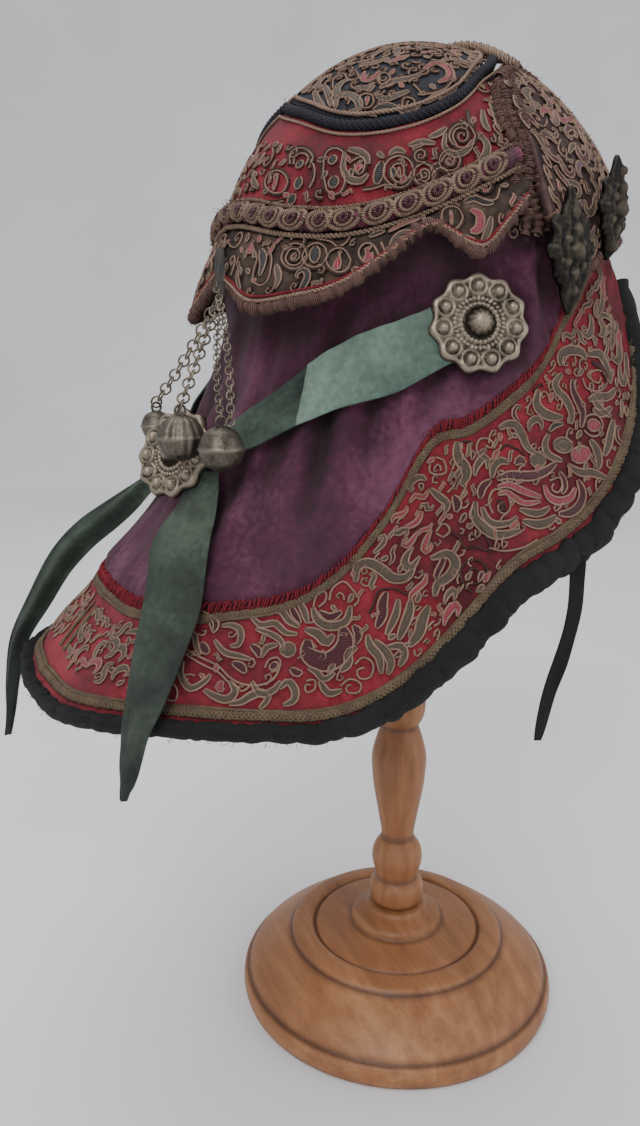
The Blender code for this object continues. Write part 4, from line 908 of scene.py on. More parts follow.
class Embroidery:
    """Couched cords and silk fills on one area, gathered into a few meshes.

    up is 1 where the surface's second coordinate grows upwards, else -1. A twin is a second bare cord.
    """

    def __init__(self, name, surface, height, up, twin=None):
        self.name = name
        self.surface = surface
        self.height = height
        self.up = up
        self.twin = twin
        self.fills = {fill: Pile() for fill in ("tan", "wine", "rose", "black", "mauve")}
        self.cords = {cord: Pile() for cord in ("light", "dark")}
        self.centres = []

    def stroke(self, places, half_width, fill, cord):
        """Lay one filled stroke with its outline cord, or a bare cord where it has no width."""
        along = along_length(self.surface.at(places[:, 0], places[:, 1]))
        length = along[-1]
        count = max(int(length / CORD_STEP), 5)
        keys = along / max(length, 1e-6)
        even = np.linspace(0, 1, count)
        u, v = read_line(even, keys, places).T
        half = np.interp(even, keys, half_width)
        middle = self.surface.at(u, v, self.height)
        normal = self.surface.normal(u, v)
        self.centres.append(middle[:: max(count // 4, 1)])
        if half.max() < BARE_CORD_WIDTH:
            line = middle + normal * CORD_RADIUS * 0.6
            add_tube(self.cords[cord], line, normal, CORD_RADIUS, CORD_SIDES)
            if self.twin:
                line = line + beside(line, normal) * CORD_RADIUS * TWIN_SPACING
                add_tube(self.cords[self.twin], line, normal, CORD_RADIUS, CORD_SIDES)
            return
        side = beside(middle, normal)
        across = np.linspace(-1, 1, 5)
        dome_height = 0.15 + 0.45 * (1 - across**2)
        grid = middle[:, None, :] + side[:, None, :] * (half[:, None] * across)[..., None]
        grid = grid + normal[:, None, :] * dome_height[None, :, None]
        thread = np.stack(crossed(even * length, across), axis=-1)
        thread[..., 1] *= half[:, None]
        self.fills[fill].add(grid, thread)
        rim = np.concatenate([middle + side * half[:, None], (middle - side * half[:, None])[::-1]])
        normal = np.concatenate([normal, normal[::-1]])
        line = rim + normal * CORD_RADIUS * 0.7
        add_tube(self.cords[cord], line, normal, CORD_RADIUS, CORD_SIDES, closed=True)

    def motif(self, kind, u, v, size, turn, flip, fill):
        """Lay a motif of a half size in millimetres, turned in degrees, at a place on the surface."""
        across, down = self.surface.scale(np.array(u), np.array(v))
        spin = radians(turn)
        points = curve_through(MOTIFS[kind], 24)
        x, y = points[:, 0] * size * flip, points[:, 1] * size
        places = np.stack([u + (x * cos(spin) - y * sin(spin)) / across,
                           v + self.up * (x * sin(spin) + y * cos(spin)) / down], axis=-1)
        self.stroke(places, np.maximum(points[:, 2], 0.0) * size, fill, "light")

    def chart(self, rows, signs=(1, -1)):
        """Lay the strokes of a chart once for each sign; a sign of -1 mirrors them."""
        for sign in signs:
            for fill, cord, half, *places in rows:
                line = curve_through(places, 30)
                line[:, 0] *= sign
                bell = np.sin(pi * np.linspace(0.03, 0.97, len(line))) ** 0.45
                self.stroke(line, half * bell, fill, cord)

    def scatter(self, u_span, v_span, spacing, size, kinds, fills, seed, clear):
        """Fill what is left of an area with small motifs.

        A limit in v may be a function of u. spacing and size are in millimetres. kinds and fills are drawn
        from as they are listed, and clear is the room round a motif as a share of the spacing.
        """
        random = np.random.default_rng(seed)
        taken = np.concatenate(self.centres) if self.centres else np.zeros((0, 3))
        u = u_span[0]
        row = 0
        while u < u_span[1]:
            low, high = (limit(u) if callable(limit) else limit for limit in v_span)
            across, down = self.surface.scale(np.array(u), np.array(0.5 * (low + high)))
            count = max(int((high - low) * down / spacing), 1)
            for index in range(count):
                shift = 0.5 * (row % 2) + random.uniform(-0.2, 0.2)
                v = low + (high - low) * (index + 0.25 + 0.5 * shift) / count
                spot = u + random.uniform(-0.25, 0.25) * spacing / across
                kind, turn = random.choice(kinds.split()), random.uniform(0, 360)
                fill, flip = random.choice(fills.split()), random.choice((-1, 1))
                grow = size * random.uniform(0.8, 1.2)
                here = self.surface.at(spot, v)
                if len(taken) and np.linalg.norm(taken - here, axis=-1).min() < clear * spacing:
                    continue
                self.motif(kind, spot, v, grow, turn, flip, fill)
            u += spacing / across
            row += 1

    def make(self):
        """Make the meshes."""
        for kind, piles in (("silk", self.fills), ("cord", self.cords)):
            for key, pile in piles.items():
                if pile.count:
                    pile.make(f"{self.name}_{kind}_{key}", f"{kind}_{key}", "gold_embroidery")


class Paint:
    """A short way to write a material's nodes."""

    def __init__(self, name, roughness=0.8, metallic=0.0, sheen=0.0, specular=0.4):
        self.material = bpy.data.materials.new(name)
        self.material.use_nodes = True
        self.tree = self.material.node_tree
        self.shader = self.tree.nodes["Principled BSDF"]
        self.normal = None
        self.put(self.shader, {"Roughness": roughness, "Metallic": metallic, "Sheen Weight": sheen,
                               "Sheen Roughness": 0.4, "Specular IOR Level": specular})
        self.where = self.node("ShaderNodeTexCoord", {})["Object"]

    def put(self, node, values):
        """Link each named socket of a node, or set its value."""
        for key, value in values.items():
            socket = node.inputs[key]
            if isinstance(value, bpy.types.NodeSocket):
                self.tree.links.new(value, socket)
            else:
                socket.default_value = (*value, 1.0) if socket.type == "RGBA" else value

    def node(self, kind, values, **settings):
        """Add a node, and return its outputs."""
        made = self.tree.nodes.new(kind)
        for key, value in settings.items():
            setattr(made, key, value)
        self.put(made, values)
        return made.outputs

    def attribute(self, name, output):
        """Read one of the mesh's own attributes."""
        return self.node("ShaderNodeAttribute", {}, attribute_name=name)[output]

    def noise(self, scale, detail, stretch=None):
        """Return a noise between 0 and 1, of about scale cells per metre."""
        where = self.where
        if stretch:
            where = self.node("ShaderNodeMapping", {"Scale": stretch, "Vector": where})["Vector"]
        return self.node("ShaderNodeTexNoise", {"Scale": scale, "Detail": detail, "Vector": where})["Fac"]

    def wave(self, scale, distortion, direction="X"):
        """Return bands between 0 and 1 along the thread coordinate, or across it."""
        values = {"Scale": scale, "Distortion": distortion, "Detail Scale": 2.0,
                  "Vector": self.attribute("thread", "Vector")}
        return self.node("ShaderNodeTexWave", values, wave_type="BANDS", bands_direction=direction)["Fac"]

    def maths(self, operation, a, b):
        """Combine two numbers."""
        return self.node("ShaderNodeMath", {0: a, 1: b}, operation=operation)["Value"]

    def scaled(self, value, share, plus=0.0):
        """Return a number times a share, plus another number."""
        return self.maths("ADD", self.maths("MULTIPLY", value, share), plus)

    def weighed(self, first, first_share, second, second_share):
        """Return the sum of two numbers, each times its share."""
        return self.scaled(first, first_share, self.maths("MULTIPLY", second, second_share))

    def ramp(self, factor, *stops):
        """Turn a number into a colour through stops of place and red, green, blue."""
        made = self.tree.nodes.new("ShaderNodeValToRGB")
        elements = made.color_ramp.elements
        while len(elements) < len(stops):
            elements.new(0.5)
        for element, (place, colour) in zip(elements, stops):
            element.position = place
            element.color = (*colour, 1.0)
        self.put(made, {"Fac": factor})
        return made.outputs["Color"]

    def mix(self, factor, a, b, blend="MIX"):
        """Mix two colours."""
        values = {"Factor": factor, 6: a, 7: b}
        return self.node("ShaderNodeMix", values, data_type="RGBA", blend_type=blend)[2]

    def darken(self, colour, tone):
        """Darken a colour towards a tone where the shade attribute is under a half: painted shade in the
        hood's folds and the stand's grooves, and a darkening towards the tails' ends.
        """
        hollow = self.ramp(self.attribute("shade", "Fac"), (0.0, tone), (0.5, WHITE))
        return self.mix(0.9, colour, hollow, "MULTIPLY")

    def bump(self, height, distance):
        """Add relief of a depth in millimetres."""
        values = {"Strength": 1.0, "Distance": distance * MM, "Height": height}
        if self.normal:
            values["Normal"] = self.normal
        self.normal = self.node("ShaderNodeBump", values)["Normal"]

    def finish(self, colour, roughness=None):
        """Link the colour, roughness and relief, and return the material."""
        values = {"Base Color": colour, "Roughness": roughness, "Normal": self.normal}
        self.put(self.shader, {key: value for key, value in values.items() if value is not None})
        return self.material


def cloth_paint(name, dark, middle, light, sheen, threads, patch, grime, roughness, weave):
    """Woven cloth: large worn patches, fine flecks, a weave along the thread, grime, and painted shade in the
    hollows.
    """
    paint = Paint(name, roughness, sheen=sheen)
    fine = paint.noise(420.0, 2.0)
    blend = paint.weighed(paint.noise(patch, 4.0), 0.72, fine, 0.28)
    colour = paint.ramp(blend, (0.36, dark), (0.5, middle), (0.64, light))
    cross = paint.maths("MULTIPLY", paint.wave(threads, 0.6), paint.wave(threads, 0.6, "Y"))
    colour = paint.mix(paint.maths("MULTIPLY", cross, 0.22), colour, dark)
    spots = paint.ramp(paint.noise(75.0, 5.0), (0.5, WHITE), (0.7, (0.45, 0.42, 0.42)))
    # Grime in random spots, then painted shade where the shade attribute is low
    colour = paint.darken(paint.mix(grime, colour, spots, "MULTIPLY"), (0.30, 0.24, 0.28))
    paint.bump(cross, weave)
    paint.bump(paint.noise(260.0, 3.0), 0.25)
    return paint.finish(colour, paint.scaled(fine, 0.25, roughness - 0.12))


def silk_paint(name, dark, light, period):
    """Silk fill: rows of laid thread across the stroke, worn in patches."""
    paint = Paint(name, 0.55, sheen=0.08)
    rows = paint.wave(1.0 / period, 1.0)
    factor = paint.weighed(rows, 0.6, paint.noise(600.0, 2.0), 0.4)
    colour = paint.ramp(factor, (0.2, dark), (0.75, light))
    worn = paint.ramp(paint.noise(90.0, 3.0), (0.35, (0.4, 0.36, 0.36)), (0.6, WHITE))
    paint.bump(rows, 0.5)
    return paint.finish(paint.mix(0.3, colour, worn, "MULTIPLY"))


def cord_paint(name, dark, light, period):
    """Twisted cord: plies along it, worn lighter in places."""
    paint = Paint(name, 0.75, specular=0.25)
    plies = paint.wave(1.0 / period, 0.4)
    factor = paint.weighed(plies, 0.45, paint.noise(140.0, 3.0), 0.55)
    colour = paint.ramp(factor, (0.25, dark), (0.62, light))
    paint.bump(plies, 0.25)
    return paint.finish(colour)


def metal_paint(name, dark, light, roughness, metallic, tarnish_and_shade):
    """Aged metal: dark patina in patches and hollows, painted shade in the bells' slits, and brighter worn
    spots.
    """
    paint = Paint(name, roughness, metallic=metallic)
    patches = paint.noise(110.0, 5.0)
    factor = paint.weighed(patches, 0.6, paint.noise(900.0, 3.0), 0.4)
    # Patina in the hollows, and painted shade in the bells' slits
    hollow = paint.maths("SUBTRACT", paint.attribute("shade", "Fac"), 0.5)
    factor = paint.scaled(hollow, tarnish_and_shade, factor)
    paint.bump(paint.noise(500.0, 4.0), 0.12)
    paint.bump(patches, 0.2)
    colour = paint.ramp(factor, (0.3, dark), (0.68, light))
    return paint.finish(colour, paint.scaled(patches, 0.35, roughness - 0.15))


def wood_paint(name, stretch):
    """Turned wood: straight grain, slow colour bands, turning rings, painted shade in the grooves and a soft
    polish.
    """
    paint = Paint(name, 0.5, specular=0.35)
    grain = paint.noise(1.0, 6.0, stretch)
    slow = paint.noise(1.0, 3.0, tuple(value * 0.22 for value in stretch))
    pores = paint.noise(1.0, 2.0, tuple(value * 5.0 for value in stretch))
    factor = paint.scaled(pores, 0.15, paint.weighed(grain, 0.45, slow, 0.4))
    tones = (0.34, (0.17, 0.066, 0.026)), (0.5, (0.275, 0.118, 0.048)), (0.64, (0.39, 0.19, 0.085))
    colour = paint.ramp(factor, *tones)
    rings = paint.wave(0.33, 2.2)
    colour = paint.mix(paint.maths("MULTIPLY", rings, 0.28), colour, (0.20, 0.08, 0.034))
    paint.bump(pores, 0.12)
    paint.bump(grain, 0.15)
    # Painted shade in the grooves, from the shade attribute
    return paint.finish(paint.darken(colour, (0.12, 0.07, 0.05)), paint.scaled(grain, 0.25, 0.36))


CLOTHS = (
    # key, dark, middle, light, sheen, threads per mm, patches per metre, grime, roughness, weave depth
    ("purple", (0.034, 0.003, 0.016), (0.082, 0.010, 0.038), (0.175, 0.048, 0.098),
     0.04, 4.0, 24.0, 0.35, 0.62, 0.12),
    ("red", (0.085, 0.003, 0.009), (0.225, 0.008, 0.020), (0.36, 0.024, 0.040),
     0.02, 4.0, 34.0, 0.3, 0.68, 0.12),
    ("navy", (0.003, 0.003, 0.008), (0.007, 0.008, 0.018), (0.020, 0.022, 0.040),
     0.03, 4.0, 60.0, 0.3, 0.7, 0.12),
    ("olive", (0.026, 0.014, 0.009), (0.068, 0.040, 0.026), (0.145, 0.092, 0.060),
     0.02, 3.0, 70.0, 0.5, 0.8, 0.2),
    ("mauve", (0.030, 0.013, 0.014), (0.072, 0.034, 0.034), (0.15, 0.082, 0.074),
     0.02, 3.0, 70.0, 0.5, 0.75, 0.2),
    ("magenta", (0.05, 0.003, 0.016), (0.13, 0.009, 0.038), (0.23, 0.028, 0.08),
     0.1, 4.0, 80.0, 0.3, 0.6, 0.12),
    ("black", (0.0015, 0.0015, 0.002), (0.0035, 0.0035, 0.0045), (0.012, 0.012, 0.015),
     0.02, 2.5, 60.0, 0.3, 0.9, 0.4),
    ("green", (0.070, 0.125, 0.095), (0.135, 0.215, 0.165), (0.22, 0.32, 0.255),
     0.04, 6.0, 18.0, 0.4, 0.65, 0.1),
    ("green_dark", (0.012, 0.021, 0.014), (0.040, 0.068, 0.048), (0.090, 0.14, 0.103),
     0.04, 6.0, 30.0, 0.75, 0.65, 0.1),
    ("green_tail", (0.008, 0.015, 0.009), (0.030, 0.050, 0.032), (0.080, 0.118, 0.080),
     0.03, 6.0, 34.0, 0.8, 0.6, 0.1),
    ("tape", (0.018, 0.017, 0.015), (0.052, 0.049, 0.043), (0.11, 0.10, 0.088),
     0.03, 2.0, 90.0, 0.3, 0.8, 0.3),
)
SILKS = (
    # key, dark, light, thread period in mm
    ("tan", (0.026, 0.017, 0.010), (0.165, 0.115, 0.072), 1.2),
    ("wine", (0.020, 0.001, 0.004), (0.085, 0.005, 0.014), 2.2),
    ("rose", (0.15, 0.010, 0.025), (0.40, 0.06, 0.085), 2.0),
    ("black", (0.002, 0.002, 0.003), (0.012, 0.014, 0.014), 2.0),
    ("mauve", (0.035, 0.020, 0.030), (0.165, 0.110, 0.140), 2.0),
)
CORDS = (
    # key, dark, light, ply period in mm
    ("cord_light", (0.12, 0.066, 0.046), (0.41, 0.275, 0.20), 1.1),
    ("cord_dark", (0.018, 0.008, 0.008), (0.085, 0.045, 0.036), 1.1),
    ("cord_tan", (0.06, 0.038, 0.026), (0.24, 0.165, 0.115), 2.2),
    ("cord_black", (0.002, 0.002, 0.004), (0.014, 0.014, 0.022), 2.6),
    ("braid", (0.040, 0.025, 0.016), (0.185, 0.135, 0.085), 1.6),
    ("fluff", (0.026, 0.012, 0.011), (0.135, 0.075, 0.060), 2.0),
    ("thread_red", (0.08, 0.004, 0.008), (0.26, 0.02, 0.03), 1.6),
)
METALS = (
    # key, dark, light, roughness, metallic, tarnish_and_shade: patina in hollows, and painted shade in the
    # bells' slits
    ("silver", (0.020, 0.015, 0.010), (0.25, 0.205, 0.155), 0.42, 0.8, 0.75),
    ("bell", (0.022, 0.018, 0.014), (0.17, 0.145, 0.115), 0.44, 0.78, 0.6),
    ("dark_metal", (0.006, 0.005, 0.004), (0.062, 0.050, 0.034), 0.46, 0.6, 0.8),
)


def make_materials():
    """Make every material of the hat and its stand."""
    made = {}
    for key, dark, middle, light, *settings in CLOTHS:
        made[key] = cloth_paint(key + "_cloth", dark, middle, light, *settings)
    for key, dark, light, period in SILKS:
        made["silk_" + key] = silk_paint(key + "_silk_fill", dark, light, period)
    for key, dark, light, period in CORDS:
        made[key] = cord_paint(key + "_thread", dark, light, period)
    for key, dark, light, *settings in METALS:
        made[key] = metal_paint(key + "_metal", dark, light, *settings)
    for key, stretch in (("base", (16.0, 170.0, 170.0)), ("post", (170.0, 170.0, 14.0))):
        made["wood_" + key] = wood_paint("turned_wood_" + key, stretch)
    return made


materials = make_materials()


def bordered_place(share, drop):
    """Return the border's outer surface with its slight unevenness."""
    return cape.at(share, drop, 0.55 * ripple(share, drop, (9.0, 5.0), 11) - 0.2)


border = Surface(bordered_place, (-1.0, 1.0), (0.0, 1.0), (501, 161), 1)


def hood_height(share, drop):
    """Return the purple hood's height off the cape: soft folds, gathered seams and a puffed lower edge."""
    part = np.clip(drop / np.maximum(border_start(share), 0.05), 0.0, 1.0)
    wave = 0.5 * (np.cos(2 * pi * FOLD_COUNT * share) - 1.0)
    height = FOLD_DEPTH * np.sin(pi * part) ** 2 * wave
    soft = ripple(share + 0.06 * np.sin(3.0 * drop), drop, (6.0, 1.2), 21)
    crease = ripple(share, drop * 0.4, (15.0, 2.0), 22)
    height = height + (2.3 * soft + 1.3 * crease - 1.5) * np.sin(pi * part) ** 0.7
    height = np.minimum(height, HOOD_PROUD)
    puff = np.exp(-(((1.0 - part) / 0.13) ** 2)) * (1.0 - np.exp(-(((1.0 - part) / 0.03) ** 2)))
    gathers = ripple(share, drop * 0.1, (34.0, 0.4), 23)
    return height + puff * (2.0 + 1.2 * gathers)


def surface_line(surface, u, v, height, step):
    """Return an even line over a surface: its points, its normals and the distance along it."""
    points = surface.at(u, v, height)
    along = along_length(points)
    keys = np.linspace(0, along[-1], max(int(along[-1] / step), 4))
    return read_line(keys, along, points), unit(read_line(keys, along, surface.normal(u, v))), keys


def add_hood():
    """The purple silk hood, from over the crown's foot down to the border's seam, with shade painted into its
    fold hollows and its gathered foot.
    """
    share = np.linspace(-HOOD_END, HOOD_END, 225)
    part = np.linspace(0, 1, 42)
    drop = (border_start(share) + 0.6 / cape_length(share))[:, None] * part[None, :]
    wide = np.broadcast_to(share[:, None], drop.shape)
    height = hood_height(wide, drop)
    # Painted shade: the colour darkens where the folds sink deepest
    shade = np.clip(0.5 + (height + 1.6) / 6.5, 0.0, 0.5)
    tuck = 0.9 * np.exp(-(((1 - part) / 0.012) ** 2))
    grid = cape.at(wide, drop, height) - cape.normal(wide, drop) * tuck[None, :, None]
    head = cape_place(share, 0.0 * share)
    azimuth = np.degrees(np.arctan2(-head[:, 0] / CROWN_HALF_WIDTH, head[:, 1] / CROWN_HALF_LENGTH))
    gather = crown.normal(azimuth, 0.0 * share) * (ripple(share, 0.0, (40.0, 0.0), 24)[:, None] * 0.3)
    foot = np.stack([crown.at(azimuth, rise, lift) + gather for rise, lift in HOOD_TOP], axis=1)
    grid = np.concatenate([foot, grid[:, HOOD_ROWS_UNDER_TOP:]], axis=1)
    # Painted shade: the rows gathered at the crown's foot, under the flap, are darkened
    shade = np.concatenate([np.full(foot.shape[:2], 0.2), shade[:, HOOD_ROWS_UNDER_TOP:]], axis=1)
    add_grid("silk_hood", grid, "purple", "purple_silk", ("hood_body",), CLOTH, 0.3, shade=shade, flip=True)


def add_border():
    """The red border's satin ground."""
    share = np.linspace(-CAPE_END, CAPE_END, 260)
    length = cape_length(share)
    start = np.maximum(border_start(share), HEAD_SEAM / length)
    end = 1.0 - 2.5 / length
    grid = border.at(share[:, None], start[:, None] + (end - start)[:, None] * np.linspace(0, 1, 24))
    add_grid("border_ground", grid, "red", "red_satin", ("border_band",), CLOTH, 0.3, flip=True)


def add_binding():
    """The black padded binding: a lumpy roll with slanting creases."""
    share = np.linspace(-1.0, 1.0, 520)
    wide = np.interp(np.abs(share), *BINDING_WIDTH)
    drop = 1.0 - wide / cape_length(share)
    centre = cape.at(share, drop, -0.5 * CLOTH)
    normal = cape.normal(share, drop)
    turn = np.arange(18) / 18
    along = along_length(centre)
    lumps = ripple(along[:, None] / 100.0, turn[None, :], (6.0, 1.0), 31)
    slant = along[:, None] / 9.0 + turn[None, :] + 0.4 * ripple(along[:, None] / 100.0, 0.0, (5.0, 0), 32)
    creases = np.abs(np.sin(pi * slant)) ** 0.5
    radius = 1.0 + 0.10 * lumps + 0.26 * (creases - 0.8)
    tangent = np.gradient(centre, axis=0)
    side = unit(np.cross(normal, tangent))
    over = unit(np.cross(tangent, side))
    angle = turn * 2 * pi
    ring = (side * wide[:, None])[:, None, :] * np.cos(angle)[None, :, None]
    ring = ring + over[:, None, :] * BINDING_RADIUS * np.sin(angle)[None, :, None]
    grid = centre[:, None, :] + ring * radius[..., None]
    thread = np.stack(crossed(along, angle * BINDING_RADIUS), axis=-1)
    add_grid("padded_binding", grid, "black", "black_binding", ("edge_binding",), fill=0.8, thread=thread,
             close_v=True)


def add_crown_cap():
    """The crown's own silk, puckered where it meets the hood and pleated towards the top."""
    azimuth, rise = crossed(np.linspace(-180, 180, 131), np.sin(np.linspace(0, 0.5 * pi, 24)))
    pleats = ripple(azimuth / 45.0, 0.0 * rise, (12.0, 0.0), 171) * (1.0 - rise) ** 2
    grid = crown_place(azimuth, rise) + crown.normal(azimuth, rise) * (0.2 * pleats - 0.15)[..., None]
    add_grid("silk_crown", grid, "purple", "purple_silk", ("crown_cap",), CLOTH, 0.2, weld=True)


def add_crown_layers():
    """The grounds of the navy patch and of the red band on the crown."""
    azimuth = np.linspace(-180, 180, 181)
    low = crown_place(azimuth, patch_edge(azimuth) + PATCH_SETBACK)
    plan = low[:, None, :2] * np.linspace(1.0, 0.0, 18)[None, :, None]
    grid = dome.at(plan[..., 0], plan[..., 1], LAYER_TOP)
    add_grid("navy_patch", grid, "navy", "navy_satin", ("crown_patch",), THIN_CLOTH, 0.2, weld=True)

    azimuth = np.linspace(-BACK_LAYER_END, BACK_LAYER_END, 161)
    top = patch_edge(azimuth) - 0.01
    bottom = roll_line(azimuth) + ROLL_SETBACK * 0.6
    part = np.linspace(0, 1, 16)
    rise = top[:, None] + (bottom - top)[:, None] * part[None, :]
    wide = np.broadcast_to(azimuth[:, None], rise.shape)
    grid = crown.at(wide, rise, LAYER_TOP + 0.2 * ripple(wide / 60.0, part[None, :], (3.0, 1.0), 41))
    add_grid("satin_band", grid, "red", "red_satin", ("red_band",), THIN_CLOTH, 0.2, flip=True)


def add_turned(name, profile, steps, grooves):
    """A turned piece of the stand, from its profile with eased corners, with shade painted into its grooves.
    """
    line = np.asarray(profile, float)
    for _ in range(2):
        low = line[:-1] * 0.8 + line[1:] * 0.2
        high = line[:-1] * 0.2 + line[1:] * 0.8
        line = np.concatenate([line[:1], np.stack([low, high], axis=1).reshape(-1, 2), line[-1:]])
    turn = np.arange(steps) * 2 * pi / steps
    x = line[:, 0][:, None] * np.cos(turn)
    y = line[:, 0][:, None] * np.sin(turn)
    z = np.broadcast_to(line[:, 1][:, None], x.shape)
    shade = np.full(len(line), 0.5)
    # Painted shade: the colour darkens within GROOVE_REACH of each groove
    for radius, height in grooves:
        near = np.hypot(line[:, 0] - radius, line[:, 1] - height)
        shade = np.minimum(shade, 0.5 * np.clip(near / GROOVE_REACH, 0.0, 1.0))
    grid = np.stack([x, y, z], axis=-1)[::-1]
    add_grid("turned_" + name, grid, "wood_" + name, "wood", ("stand_" + name,), weld=True,
             shade=shade[::-1][:, None], close_v=True)


def add_stand():
    """The turned base and post."""
    add_turned("base", BASE_PROFILE, 96, BASE_GROOVES)
    add_turned("post", POST_PROFILE, 72, POST_GROOVES)


def add_braid(pile, line, width, radius, pitch, lift=0.35):
    """Plait three strands of a radius along a line, width apart, once in each pitch, in millimetres."""
    points, normals, along = line
    side = beside(points, normals)
    for strand in range(3):
        phase = 2 * pi * (along / pitch + strand / 3)
        place = points + side * (0.5 * width * np.sin(phase))[:, None]
        place = place + normals * (lift * np.sin(2 * phase) + radius * 0.7)[:, None]
        add_tube(pile, place, normals, radius, 4)


def add_twist(pile, line, radius, pitch, plies=2):
    """Twist plies round a line, once in each pitch, to make one cord of about a radius, in millimetres."""
    points, normals, along = line
    side = beside(points, normals)
    for ply in range(plies):
        phase = 2 * pi * (along / pitch + ply / plies)
        place = points + side * (0.5 * radius * np.cos(phase))[:, None]
        place = place + normals * (0.5 * radius * np.sin(phase))[:, None]
        add_tube(pile, place, normals, radius * 0.62, 5)


def add_hairs(pile, bases, normals, length, seed, radius, sweep=0.9):
    """Let one loose fibre of up to a length, in millimetres, stand off each base; sweep strays it."""
    random = np.random.default_rng(seed)
    part = np.linspace(0, 1, 3)[:, None]
    for base, normal in zip(bases, normals):
        lean = random.normal(0, sweep, 3)
        reach = length * random.uniform(0.4, 1.0)
        bend = random.normal(0, 0.5, 3) * reach
        way = unit(normal + lean * 0.6) * part + bend / max(reach, 0.1) * part**2 * 0.6
        line = base + way * reach
        facing = np.broadcast_to(unit(random.normal(0, 1, 3)), line.shape)
        add_tube(pile, line, facing, radius * (1.1 - part[:, 0]), 3)


def knobs(along, sway, rate, rough, reach, waves, seed):
    """Return a knobby trim's thickness along its length, from an even sway and a rough wave, about 1."""
    return 1.0 + sway * np.sin(along * rate) + rough * ripple(along / reach, 0.0 * along, (waves, 0.0), seed)


def placed(grid, centre, normal):
    """Return a grid's local x, y and height set on a place that faces along the normal."""
    forward = unit(np.asarray(normal, float))
    right = unit(np.cross((0.0, 0.0, 1.0), forward))
    above = np.cross(forward, right)
    return np.asarray(centre, float) + grid @ np.stack([right, above, forward])


def declare_sheet(grid):
    """Work out the flat size and area that a piece's grid has."""
    width = np.linalg.norm(np.diff(grid, axis=1), axis=-1).sum(axis=1)
    length = np.linalg.norm(np.diff(grid, axis=0), axis=-1).sum(axis=0)
    across = grid[1:, :-1] - grid[:-1, :-1]
    down = grid[:-1, 1:] - grid[:-1, :-1]
    area = np.linalg.norm(np.cross(across, down), axis=-1).sum()
    flat = (float(width.max()) * MM, float(length.max()) * MM)
    area = min(float(area) * MM * MM, flat[0] * flat[1])


def strip_grid(table, counts, height):
    """Return a free ribbon's grid, with a height off its plane for each place and side."""
    place = np.linspace(table[0][0], table[-1][0], counts[0])
    row = read_table(table, place)
    middle, across, half = row[:, 0:3], unit(row[:, 3:6]), row[:, 6]
    normal = beside(middle, across)
    side = np.linspace(1, -1, counts[1])
    grid = middle[:, None, :] + across[:, None, :] * (half[:, None] * side)[..., None]
    return grid + normal[:, None, :] * height(place[:, None], side[None, :])[..., None]


def ribbon_grid(start, end, height, wrinkle, seed, width=1.0):
    """Return the grid of a stretch of the long ribbon on the cape."""
    place = np.linspace(start, end, 90)
    share, drop, half = np.moveaxis(read_table(RIBBON, place), -1, 0)
    height = height - np.interp(place, (-0.75, 0.1), (1.3, 0.0))[:, None]
    side = np.linspace(-1, 1, 26)
    down = drop[:, None] + (half * width / cape_length(share))[:, None] * side
    wide = np.broadcast_to(share[:, None], down.shape)
    waves = wrinkle * ripple(place[:, None] * 0.4, side[None, :] * 0.5, (2.5, 1.0), seed)
    waves = waves + 0.5 * wrinkle * ripple(place[:, None] * 0.2, side[None, :], (1.5, 3.0), seed + 1)
    return cape.at(wide, down, height + np.clip(waves, -0.35, 0.6))


def add_ribbons():
    """The long ribbons: a light stretch from the side disc, seamed over a darker stained one."""
    for name, sign in SIDES:
        facing = np.array([sign, 1, 1])
        light = ribbon_grid(-0.75, 3.9, RIBBON_STANDOFF + 0.85, 0.35, 51)
        dark = ribbon_grid(3.3, 7.0, RIBBON_STANDOFF, 0.45, 53, 0.97)
        for part, grid, paint, nodes in (
            ("light", light, "green", ("ribbon_" + name,)),
            ("dark", dark, "green_dark", ()),
        ):
            grid = (grid * facing)[::sign]
            piece = add_grid(f"ribbon_{part}_{name}", grid, paint, "green_ribbon", nodes, 0.8, flip=True)
            declare_sheet(grid)
        stitches = Pile()
        for place in (3.72, 3.84):
            share, drop, half = read_table(RIBBON, place)
            for step in np.linspace(-0.93, 0.93, 17):
                down = drop + half * step / cape_length(share)
                reach = np.array([-0.5, -0.2, 0.2, 0.5]) / cape_length(share)
                lift = RIBBON_STANDOFF + 0.85 + np.array([0.1, 0.45, 0.45, 0.1])
                line = cape.at(np.full(4, share), down + reach, lift)
                normal = cape.normal(np.full(4, share), down + reach)
                add_tube(stitches, line * facing, normal * facing, 0.16, 5)
        stitches.make("ribbon_stitches_" + name, "silk_tan", "tan_trim")


def right_tail_height(place, side):
    """Return the right tail's crease and waves."""
    crease = 1.5 * np.abs(side) ** 0.8 - 0.9
    slow = 0.8 * ripple(place * 0.12, side * 0.4, (2.2, 1.0), 61)
    return -(crease + slow + 0.25 * ripple(place * 0.3, side, (2.5, 1.5), 62))


def left_tail_height(place, side):
    """Return the left tail's deep lengthwise fold."""
    fold = 2.2 * np.cos(pi * side * 1.1)
    return fold + 0.7 * ripple(place * 0.12, side * 0.5, (2.5, 1.0), 63)


